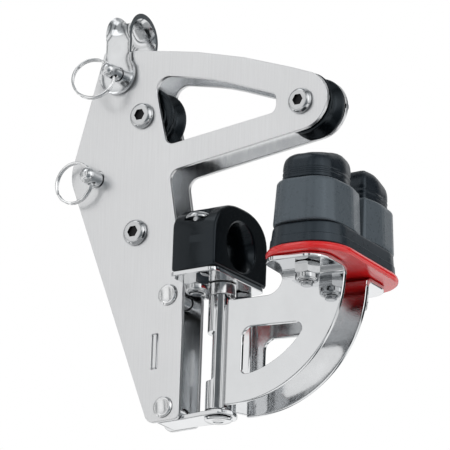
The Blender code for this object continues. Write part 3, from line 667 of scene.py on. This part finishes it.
def sheave(name):
    node = "sheave_" + name
    low, high = mm_box(node)
    spot = middle(node)
    outer = (high.x - low.x) / 2
    half = (high.y - low.y) / 2
    bore = 6.8
    side = [(bore, half - 0.7), (bore + 0.2, half - 0.2), (bore + 0.6, half),
            (bore + 1.3, half), (bore + 1.6, half - 0.45), (outer - 1.6, half - 0.45),
            (outer - 1.3, half), (outer - 0.6, half), (outer - 0.15, half - 0.2),
            (outer, half - 0.7)]
    groove = smooth_steps([(outer - 0.25, half - 1.1), (outer - 1.3, half - 2.0),
                           (outer - 2.6, half - 3.4), (outer - 3.0, 0), (outer - 2.6, 3.4 - half),
                           (outer - 1.3, 2.0 - half), (outer - 0.25, 1.1 - half)], 4)
    profile = side + groove + [(r, -h) for r, h in reversed(side)]
    place = at(spot.x, spot.y, spot.z) @ FRONT
    return show(lathe(node + "_look", profile, place, sides=96, ring=True), node, SHEAVE_BLACK)


def ball_cage(node, radius, ball, count, place):
    """A cage ring with its balls half sunk in it."""
    half_wide = 0.55
    half_tall = 0.85
    cage = lathe(node + "_look", [(radius + half_wide, half_tall), (radius + half_wide, -half_tall),
                                  (radius - half_wide, -half_tall), (radius - half_wide, half_tall)],
                 place, 60, True)
    balls = []
    for i in range(count):
        a = 2 * math.pi * i / count
        spot = place @ at(radius * math.cos(a), radius * math.sin(a), 0)
        profile = [(ball * math.sin(math.radians(b)), ball * math.cos(math.radians(b)))
                   for b in range(0, 181, 15)]
        profile[-1] = (0, -ball)
        balls.append(lathe("ball", profile, spot, 20))
    join(cage, *balls)
    return show(cage, node, NYLON)


for name in ("upper", "tip", "lower"):
    sheave(name)
    spot = middle("axle_" + name)
    ball_cage("ball_ring_" + name, 5.3, 1.12, 10, at(spot.x, 0, spot.z) @ FRONT)
    low, high = mm_box("axle_" + name)
    half = (high.y - low.y) / 2
    sleeve("axle_" + name, 3.8, HOLE_R, -half, half, 0.3, at(spot.x, 0, spot.z) @ FRONT)


# ---------------------------------------------------------------- hinge bracket

HINGE = joint_at("arm_swing").x
BUSH_BORE_R = 3.5


def hinge_bracket():
    """A folded spine with a lug below and a shelf above, tabs for the plates and a stop."""
    bottom = mm_box("hinge_bracket")[0].z
    top = mm_box("fairlead")[0].z - 0.3
    spine = 27.85
    half = 5.3
    lug_top = bottom + SHEET
    c_shape = [(HINGE - 9, top, 0), (spine, top, 3.2), (spine, bottom, 3.2), (HINGE - 5, bottom, 0),
               (HINGE - 5, lug_top, 0), (spine + SHEET, lug_top, 1.4),
               (spine + SHEET, top - SHEET, 1.4), (HINGE - 9, top - SHEET, 0)]
    body = slab("hinge_bracket_look", [rounded(c_shape)], 2 * half, FRONT, soft=0.35)
    shelf_low, shelf_high = 41.1, 61.3
    wing = 17.4
    shelf = slab("shelf", [rounded([(shelf_low - 2.5, -half, 0), (shelf_low - 1.5, -half, 1.4),
                                    (shelf_low, -half - 1.5, 1.0), (shelf_low, -wing, 2.0),
                                    (shelf_high, -wing, 3.6), (shelf_high, wing, 3.6),
                                    (shelf_low, wing, 2.0), (shelf_low, half + 1.5, 1.0),
                                    (shelf_low - 1.5, half, 1.4), (shelf_low - 2.5, half, 0)])],
                 SHEET + PROUD, at(0, 0, top - SHEET / 2), soft=0.4)
    lug_r = 7.0
    lug_edge = lug_r * 0.87
    lug = slab("lug", [[(spine + 8, -half), (41.0, -half), (HINGE - 4, -lug_edge)]
                       + arc((HINGE, 0), lug_r, -60, 60, 24)
                       + [(HINGE - 4, lug_edge), (41.0, half), (spine + 8, half)]],
               SHEET + PROUD, at(0, 0, lug_top - SHEET / 2), soft=0.4)
    tabs = slab("tabs", [box_loop(spine + SHEET / 2, 0, SHEET / 2 - 0.15, 7.35, 0.3, 30)], 13.0,
                at(0, 0, SLOT_Z), soft=0.25)
    stop = slab("stop", [rounded([(-3.0, -6.5, 2.6), (3.0, -6.5, 2.6), (3.0, -0.6, 0),
                                  (-3.0, -0.6, 0)])], 1.7, at(HINGE - 7.75, 0, top) @ ALONG_X,
                soft=0.3)
    join(body, shelf, lug, tabs, stop)
    holes = [drill(BUSH_BORE_R, 99, -99, at(HINGE, 0, -20), 40)]
    for node in ("fairlead_nut_front", "fairlead_nut_back"):
        spot = middle(node)
        holes.append(drill(HOLE_R, 4, -4, at(spot.x, spot.y, top)))
    cut(body, *holes)
    return show(body, "hinge_bracket", MIRROR)


hinge_bracket()


def hinge_pin():
    low, high = mm_box("hinge_pin")
    profile = [(0, high.z), (3.6, high.z), (4.2, high.z - 0.35), (4.4, high.z - 0.9),
               (3.2, high.z - 0.9), (3.2, low.z + 0.8), (5.1, low.z + 0.8), (5.3, low.z + 0.55),
               (5.0, low.z + 0.2), (4.2, low.z), (2.6, low.z), (2.2, low.z + 0.15),
               (0, low.z + 0.15)]
    return show(lathe("hinge_pin_look", profile, at(HINGE, 0, 0)), "hinge_pin", MIRROR)


hinge_pin()
for node in ("hinge_bush_upper", "hinge_bush_lower"):
    low, high = mm_box(node)
    sleeve(node, 5.0, BUSH_BORE_R, low.z, high.z, 0.2, at(HINGE, 0, 0))


# ---------------------------------------------------------------- fairlead

def fairlead():
    """A loaf-shaped block with a flared eye, and a screw pocket open at each end."""
    low, high = mm_box("fairlead")
    half = (high.y - low.y) / 2
    tall = high.z - low.z
    wide = high.x - low.x
    right = [(half, 1.0), (half, 8.0), (half, 13.0), (half - 0.35, 16.6), (half - 1.7, 19.9),
             (half - 4.3, 22.8), (half - 8.2, 25.0), (half - 13.0, 26.1), (0, tall)]
    right = smooth_steps(right, 5)
    outline = [(half - 0.6, 0.0)] + right + [(-y, z) for y, z in reversed(right[:-1])]
    outline += [(0.6 - half, 0.0)]
    mid = (low.x + high.x) / 2
    eye_up = 11.2
    body = slab("fairlead_look", [outline], wide, at(mid, 0, low.z) @ ALONG_X, soft=1.0)
    place = at(mid, 0, low.z + eye_up) @ ALONG_X
    reach = wide / 2
    half_eye = [(0, reach + 1), (10.4, reach + 1), (10.0, reach), (9.5, reach - 0.3),
                (8.9, reach - 1.1), (8.0, reach - 2.6), (7.25, reach - 4.6), (6.75, reach - 7.0)]
    eye = half_eye + [(6.6, 0)] + [(r, -h) for r, h in reversed(half_eye)]
    cutters = [lathe("eye", [(0, reach + 1)] + smooth_steps(eye[1:-1], 3) + [(0, -reach - 1)],
                     place, 72)]
    for node in ("fairlead_screw_front", "fairlead_screw_back"):
        spot = middle(node)
        seat = mm_box(node)[1].z - HEAD_TALL
        place = at(spot.x, spot.y, 0)
        cutters.append(drill(5.6, seat + 15, seat - 0.3, place, 48))
        cutters.append(drill(HOLE_R, seat, low.z - 2, place))
        end = -1 if spot.y < 0 else 1           # each end narrows towards the plates
        facet = slab("facet", [[(low.x - 2, end * (half - 1.7)), (low.x + 8.2, end * (half + 0.01)),
                                (low.x + 8.2, end * (half + 5)), (low.x - 2, end * (half + 5))]],
                     tall * 3, at(0, 0, low.z), soft=0)
        cutters.append(facet)
    cutters.append(drill(5.0, 1.6, -2, at(HINGE, 0, low.z)))
    cut(body, *cutters)
    return show(body, "fairlead", EYE_BLACK, crease=MOULDED_CREASE)


fairlead()
for word in ("front", "back"):
    node = "fairlead_screw_" + word
    low, high = mm_box(node)
    spot = middle(node)
    button_screw(node, at(spot.x, spot.y, high.z - HEAD_TALL), high.z - low.z - HEAD_TALL)
    node = "fairlead_nut_" + word
    lock_nut(node, at(spot.x, spot.y, mm_box(node)[1].z))


# ---------------------------------------------------------------- swinging arm

def swing_arm():
    """One folded sheet: a knuckle round the hinge pin, two webs and two flange wings."""
    web_out = 9.5
    web_in = web_out - SHEET
    flange_z = mm_box("swing_arm")[1].z - SHEET
    flange_x0, flange_x1 = 30.0, 56.3
    bend_r = 2.2
    quadrant = (10.6, -50.9)
    outline = [(x, z, 0) for x, z in arc(quadrant, 45.5, -93.8, -2.0, 60)]
    outline += [(flange_x1, flange_z + 0.2, 0), (flange_x0, flange_z + 0.2, 0),
                (flange_x0, -56.0, 6.5), (7.6, -56.0, 1.2)]
    slope = [(x, z, 0) for x, z in arc(quadrant, 35.0, -78, -36, 28)]
    hole = [(14.0, -85.7, 2.2)] + slope + [(41.0, -67.8, 3.0), (14.0, -67.0, 4.0)]
    pieces = []
    for side in (-1, 1):
        place = ARM @ at(0, side * (web_out - SHEET / 2), 0) @ FRONT
        pieces.append(slab("swing_arm_look", [rounded(outline), rounded(hole)], SHEET, place, 0.4))
        centre = (side * (web_out + bend_r), flange_z - bend_r)
        start, end = (180, 90) if side > 0 else (0, 90)
        sector = arc(centre, bend_r + SHEET, start, end, 10) + arc(centre, bend_r, end, start, 10)
        pieces.append(slab("bend", [sector], flange_x1 - flange_x0,
                           ARM @ at((flange_x0 + flange_x1) / 2, 0, 0) @ ALONG_X, 0.3))
        root = side * (web_out + bend_r - 0.4)
        tip = side * 27.5
        flange = rounded([(flange_x0, root, 0), (flange_x1, root, 0), (flange_x1, tip, 8.5),
                          (flange_x0, tip, 7.0)])
        pieces.append(slab("flange", [flange, circle(CLEAT_X, side * CAM_AT, HOLE_R)],
                           SHEET + PROUD, ARM @ at(0, 0, flange_z + SHEET / 2), 0.4))
    top, bottom = -51.5, -95.6
    fold = [(9.6, web_out, 0), (7.4, web_out, 1.2), (4.2, 3.7, 2.0)]
    fold += [(x, y, 0) for x, y in arc((0, 0), 5.1, 80, 280, 40)]
    fold += [(4.2, -3.7, 2.0), (7.4, -web_out, 1.2), (9.6, -web_out, 0), (9.6, -web_in, 0),
             (8.2, -web_in, 1.6), (5.2, -2.7, 1.2)]
    fold += [(x, y, 0) for x, y in arc((0, 0), BUSH_BORE_R, 270, 90, 30)]
    fold += [(5.2, 2.7, 1.2), (8.2, web_in, 1.6), (9.6, web_in, 0)]
    knuckle = slab("knuckle", [rounded(fold)], top - bottom, ARM @ at(0, 0, (top + bottom) / 2), 0.3)
    recess = slab("recess", [rounded([(-9, -84.5, 0), (0.4, -84.5, 1.5), (0.4, -65.5, 1.5),
                                      (-9, -65.5, 0)])], 20, ARM @ FRONT, 0)
    shoulder = slab("shoulder", [[(3.6, -56.0), (14, -56.0), (14, -48), (3.6, -48)]], 26,
                    ARM @ FRONT, 0)
    cut(knuckle, recess, shoulder)
    arm = pieces[0]
    join(arm, *pieces[1:], knuckle)
    paint(arm, MIRROR, INSIDE_SHADE_STEEL)
    back = ARM.inverted()
    # faces inside the arm and the knuckle's bore take the darker steel: painted shade
    for face in arm.data.polygons:
        spot = back @ face.center
        facing = back.to_3x3() @ face.normal
        inside = abs(spot.y) < web_in + 0.2 and spot.z < flange_z
        if inside and (facing.y * spot.y < -0.3 or math.hypot(spot.x, spot.y) < 3.8):
            face.material_index = 1
    return show(arm, "swing_arm")


swing_arm()


# ---------------------------------------------------------------- cam cleat

CAM_OUTLINE = [
    (12.6, -11.0, 10.0), (14.4, 8.0, 24.0), (12.4, 17.8, 1.6), (9.8, 18.0, 1.0),
    (-1.0, 16.4, 30.0), (-9.4, 12.2, 14.0), (-13.6, 4.4, 8.0), (-12.8, -11.0, 10.5),
]
CAP_SCALE = 0.78
CAP_DROP = 2.6              # how much lower the cap is away from the rope
CAP_LEVELS = [              # share of its height, inset
    (0.0, 0.25), (0.03, 0.0), (0.13, 0.0), (0.155, 0.22), (0.21, 0.22), (0.235, 0.02), (0.28, 0.03),
    (0.305, 0.25), (0.36, 0.28), (0.385, 0.1), (0.46, 0.12), (0.56, 0.2), (0.66, 0.36), (0.75, 0.64),
    (0.83, 1.1), (0.90, 1.8), (0.955, 2.8), (0.985, 3.8), (1.0, 5.0),
]


def resample(loop, count):
    """The loop as count evenly spaced points, counter-clockwise."""
    points = [Vector(p) for p in (loop if signed_area(loop) > 0 else list(reversed(loop)))]
    points.append(points[0])
    lengths = [0.0]
    for a, b in zip(points, points[1:]):
        lengths.append(lengths[-1] + (b - a).length)
    spaced = []
    k = 0
    for i in range(count):
        want = lengths[-1] * i / count
        while lengths[k + 1] < want:
            k += 1
        t = (want - lengths[k]) / max(1e-9, lengths[k + 1] - lengths[k])
        spaced.append(tuple(points[k].lerp(points[k + 1], t)))
    return spaced


def stacked(name, loop, levels, place):
    """A moulded block: (height, inset) levels of one outline."""
    base = resample(loop, 160)
    rings = [[(x, y, height) for x, y in (inset(base, depth) if depth else base)]
             for height, depth in levels]
    return loft(name, rings, place)


def cleat_block(node, outline, levels, *materials):
    """A moulded block under both cams, with its two screw holes."""
    block = stacked(node + "_look", outline, levels, ARM)
    cut(block, *[drill(HOLE_R, -20, -70, ARM @ at(CLEAT_X, side * CAM_AT, 0)) for side in (-1, 1)])
    return show(block, node, *materials, crease=MOULDED_CREASE)


def riser_plate():
    low, high = mm_box("riser_plate")
    levels = [(low.z, 1.1), (low.z + 0.15, 0.6), (low.z + 0.5, 0.2), (low.z + 1.1, 0.0),
              (low.z + 1.6, 0.02), (high.z - 0.6, 0.35), (high.z - 0.2, 0.7), (high.z, 1.2)]
    return cleat_block("riser_plate", box_loop(CLEAT_X, 0, 17.4, 31.2, 15.5, 4), levels, RED)


def cleat_base():
    low, high = mm_box("cleat_base")
    levels = [(low.z, 0.2), (low.z + 0.3, 0.0), (low.z + 3.2, 0.25), (low.z + 3.5, 0.55),
              (high.z - 0.9, 0.95), (high.z - 0.3, 1.2), (high.z, 1.8)]
    return cleat_block("cleat_base", box_loop(CLEAT_X, 0, 15.6, 29.6, 12.5, 4), levels, BASE_BLACK)


def cam_rings(word, mirror):
    """The rings of a cam's body, which tapers upwards, with slanted teeth on its rope face."""
    tooth_pitch = 2.1
    tooth_depth = 0.85
    tooth_slant = 0.13
    low, high = mm_box("cam_" + word)
    body = rounded([(x, mirror * y, r) for x, y, r in CAM_OUTLINE], 5)
    base = resample(body, 300)
    perimeter = sum((Vector(a) - Vector(b)).length for a, b in zip(base, base[1:] + base[:1]))
    rings = []
    tall = high.z - low.z
    levels = [(0.0, 0.5), (0.35, 0.12), (0.9, 0.0)]
    levels += [(0.9 + (tall - 2.1) * k / 12, 0.9 * k / 12) for k in range(1, 13)]
    levels += [(tall - 0.75, 1.05), (tall - 0.3, 1.4), (tall, 2.1)]
    for height, depth in levels:
        shrunk = inset(base, depth + 1e-6)
        ring = []
        for i, ((x, y), (bx, by)) in enumerate(zip(shrunk, base)):
            toothed = (eased((mirror * by - 7.5) / 3.0) * eased((bx + 11.5) / 2.5)
                       * eased((11.6 - bx) / 1.5))
            phase = perimeter * i / len(base) / tooth_pitch + mirror * height * tooth_slant
            bite = tooth_depth * toothed * (phase - math.floor(phase))
            inward = Vector((-bx * 0.3, -mirror)).normalized() * bite
            ring.append((x + inward.x, y + inward.y, low.z + height))
        rings.append(ring)
    return rings


def cap_rings(word, mirror):
    """The rings of a cam's cap, which slopes down away from the rope."""
    low, high = mm_box("cam_cap_" + word)
    scaled = rounded([(x * CAP_SCALE, mirror * y * CAP_SCALE, r * CAP_SCALE)
                      for x, y, r in CAM_OUTLINE], 5)
    base = resample(scaled, 144)
    rings = []
    for share, depth in CAP_LEVELS:
        ring = []
        even = min(depth, 0.3)
        scale = 1 - (depth - even) / 9.5
        for x, y in inset(base, even + 1e-6):
            x, y = x * scale, y * scale
            drop = CAP_DROP * eased((9.0 - mirror * y) / 15.0)
            ring.append((x, y, low.z + share * (high.z - low.z - drop)))
        rings.append(ring)
    return rings


def cam(word, side):
    """One cam with its cap, post, screw, nut, ball race and spring."""
    axis = ARM @ at(CLEAT_X, side * CAM_AT, 0)
    block = loft(f"cam_{word}_look", cam_rings(word, -side), axis)
    cut(block, drill(7.1, 0, -60, axis, 48))
    show(block, "cam_" + word, CAM_GREY, crease=math.radians(32))
    top = mm_box("cam_cap_" + word)[1].z
    cap = loft(f"cam_cap_{word}_look", cap_rings(word, -side), axis)
    dish = lathe("dish", [(0, 5), (7.4, 5), (6.9, top - 1.6), (6.3, top - 3.4), (5.6, top - 4.6),
                          (5.3, top - 5.4), (5.3, -30), (0, -30)], axis, 48)
    cut(cap, dish)
    show(cap, "cam_cap_" + word, CAP_BLACK, crease=MOULDED_CREASE)
    low, high = mm_box("cam_post_" + word)
    post = [(3.7, high.z), (4.0, high.z - 0.3), (4.0, low.z), (HOLE_R, low.z), (HOLE_R, high.z)]
    show(lathe(f"cam_post_{word}_look", post, axis, ring=True), "cam_post_" + word, SATIN)
    low, high = mm_box("cleat_screw_" + word)
    button_screw("cleat_screw_" + word, axis @ at(0, 0, high.z - HEAD_TALL),
                 high.z - low.z - HEAD_TALL)
    lock_nut("cleat_nut_" + word, axis @ at(0, 0, mm_box("cleat_nut_" + word)[1].z))
    ball_cage("cam_ball_ring_" + word, 5.55, 1.18, 10,
              axis @ at(0, 0, middle("cam_ball_ring_" + word).z))
    spring_z = middle("cam_spring_" + word).z
    coil_r = 5.55
    coil = [Vector((coil_r * math.cos(t), coil_r * math.sin(t),
                    (t / (4 * math.pi) - 0.5) * 0.9))
            for t in (2 * math.pi * k / 40 for k in range(81))]
    show(tube(f"cam_spring_{word}_look", coil, 0.42, axis @ at(0, 0, spring_z)),
         "cam_spring_" + word, WIRE)


riser_plate()
cleat_base()
cam("near", -1)
cam("far", 1)


# ---------------------------------------------------------------- floor, light and camera

TO_CAMERA = (0.533, -0.791, -0.300)
AIM = (0.04, 0.0, -0.02)
FLOOR_Z = -2.7
FLOOR_HALF = 2.5


def floor():
    bm = bmesh.new()
    bmesh.ops.create_grid(bm, x_segments=1, y_segments=1, size=FLOOR_HALF)
    mesh = bpy.data.meshes.new("floor")
    bm.to_mesh(mesh)
    bm.free()
    mesh.transform(at(0, 0, FLOOR_Z))
    obj = bpy.data.objects.new("floor", mesh)
    bpy.context.scene.collection.objects.link(obj)
    paint(obj, finish_of("pale_floor", (0.86, 0.86, 0.86), 0.8, grain=5, shade=0.01, bump=0.0,
                         cloud=1, cloud_shade=0.005))


def grey(value, cool=0.0):
    return (value * (1 - cool), value, value * (1 + cool * 0.7), 1)


def ramp_along(tree, direction, stops):
    """Greys over the directions of the sky, from -direction at 0 to direction at 1.

    A stop is its position, its brightness and, where it isn't neutral, how cool it is.
    """
    spot = add_node(tree, "ShaderNodeTexCoord")
    dot = add_node(tree, "ShaderNodeVectorMath", operation="DOT_PRODUCT")
    dot.inputs[1].default_value = Vector(direction).normalized()
    share = add_node(tree, "ShaderNodeMath", operation="MULTIPLY_ADD")
    share.inputs[1].default_value = 0.5
    share.inputs[2].default_value = 0.5
    ramp = add_node(tree, "ShaderNodeValToRGB")
    ends = ramp.color_ramp.elements
    for end, (position, *tone) in ((ends[0], stops[0]), (ends[1], stops[-1])):
        end.position = position
        end.color = grey(*tone)
    for position, *tone in stops[1:-1]:
        ends.new(position).color = grey(*tone)
    tree.links.new(spot.outputs["Generated"], dot.inputs[0])
    tree.links.new(dot.outputs["Value"], share.inputs[0])
    tree.links.new(share.outputs[0], ramp.inputs["Fac"])
    return ramp.outputs["Color"]


def mixed_colour(tree, first, second, blend="MULTIPLY", factor=None):
    node = add_node(tree, "ShaderNodeMix", data_type="RGBA", blend_type=blend)
    node.inputs[0].default_value = 1.0
    if factor:
        tree.links.new(factor, node.inputs[0])
    tree.links.new(first, node.inputs[6])
    tree.links.new(second, node.inputs[7])
    return node.outputs[2]


def world_light():
    """What the steel reflects: a white room, darker round the camera and between its panels.

    The flag is what a face square to X shows to the camera. The gaps are upright, above the
    horizon, and one dark band lies below it. The camera itself sees plain white.
    """
    world = bpy.data.worlds.new("studio")
    bpy.context.scene.world = world
    world.use_nodes = True
    tree = world.node_tree
    tree.nodes.clear()
    down = (0.0, 0.0, -1.0)
    room = ramp_along(tree, TO_CAMERA, [(0.0, 0.96), (0.905, 0.96), (0.94, 0.40, 0.05),
                                        (1.0, 0.22, 0.1)])
    flag = ramp_along(tree, (0.533, 0.791, 0.300), [(0.0, 1.0), (0.95, 1.0), (0.97, 0.1, 0.1),
                                                    (1.0, 0.1, 0.1)])
    gaps = ramp_along(tree, (0.9, -0.3, 0.2),
                      [(0.0, 0.9), (0.06, 0.9), (0.08, 0.12, 0.08), (0.115, 0.12, 0.08),
                       (0.13, 0.9), (0.165, 0.9), (0.18, 0.12, 0.08), (0.215, 0.10, 0.08),
                       (0.23, 0.9), (0.28, 0.85), (0.295, 0.10, 0.08), (0.32, 0.12, 0.08),
                       (0.338, 1.0), (0.53, 1.0), (0.55, 0.10, 0.1), (0.60, 0.16, 0.1),
                       (0.615, 1.1), (0.70, 1.0), (0.745, 1.0), (0.765, 0.18, 0.08),
                       (0.81, 0.12, 0.08), (0.83, 1.15), (1.0, 1.2)])
    above = ramp_along(tree, down, [(0.0, 0.40, 0.04), (0.14, 0.5, 0.03), (0.26, 1.0), (1.0, 1.0)])
    below = ramp_along(tree, (0.1, 0.0, -1.0),
                       [(0.0, 0.8), (0.58, 0.85), (0.615, 1.15), (0.68, 1.15),
                        (0.695, 0.14, 0.1), (0.735, 0.10, 0.1), (0.748, 1.15), (1.0, 1.0)])
    under = ramp_along(tree, down, [(0.0, 0.0), (0.50, 0.0), (0.52, 1.0), (1.0, 1.0)])
    gaps = mixed_colour(tree, gaps, flag)
    upper = mixed_colour(tree, mixed_colour(tree, room, gaps), above)
    lower = mixed_colour(tree, room, below)
    total = mixed_colour(tree, upper, lower, "MIX", under)
    lit = add_node(tree, "ShaderNodeBackground", Strength=1.0)
    tree.links.new(total, lit.inputs["Color"])
    seen = add_node(tree, "ShaderNodeBackground", Strength=1.0, Color=(1, 1, 1, 1))
    ray = add_node(tree, "ShaderNodeLightPath")
    mix = add_node(tree, "ShaderNodeMixShader")
    out = add_node(tree, "ShaderNodeOutputWorld")
    tree.links.new(ray.outputs["Is Camera Ray"], mix.inputs[0])
    tree.links.new(lit.outputs[0], mix.inputs[1])
    tree.links.new(seen.outputs[0], mix.inputs[2])
    tree.links.new(mix.outputs[0], out.inputs["Surface"])


def softbox(name, spot, size, power):
    light = bpy.data.lights.new(name, "AREA")
    light.shape = "RECTANGLE"
    light.size, light.size_y = size
    light.energy = power
    obj = bpy.data.objects.new(name, light)
    bpy.context.scene.collection.objects.link(obj)
    obj.location = spot
    obj.rotation_euler = (Vector(AIM) - Vector(spot)).to_track_quat("-Z", "Y").to_euler()


def camera():
    """From the front right and below, with a long lens, nearly parallel."""
    right = Vector((2.253, 1.484, 0.0926)).normalized()
    up = Vector((0.373, -0.726, 2.574)).normalized()
    back = right.cross(up).normalized()
    up = back.cross(right)
    aim = Vector((0.0513, 0.0031, -0.0221))
    distance = 8.0
    focal_share = 0.216         # of the distance
    data = bpy.data.cameras.new("camera")
    data.sensor_width = 36
    data.lens = focal_share * distance * 1000
    data.clip_end = 60
    obj = bpy.data.objects.new("camera", data)
    bpy.context.scene.collection.objects.link(obj)
    turn = Matrix((right, up, back)).transposed().to_4x4()
    obj.matrix_world = Matrix.Translation(aim + back * distance) @ turn
    bpy.context.scene.camera = obj


floor()
world_light()
softbox("key", (-0.35, -0.6, 1.0), (0.6, 0.6), 1.2)
softbox("fill", (0.9, -0.35, 0.35), (0.25, 0.9), 0.5)
softbox("top", (0.05, 0.3, 0.9), (0.4, 0.4), 0.5)
camera()
bpy.context.scene.view_settings.view_transform = "Standard"
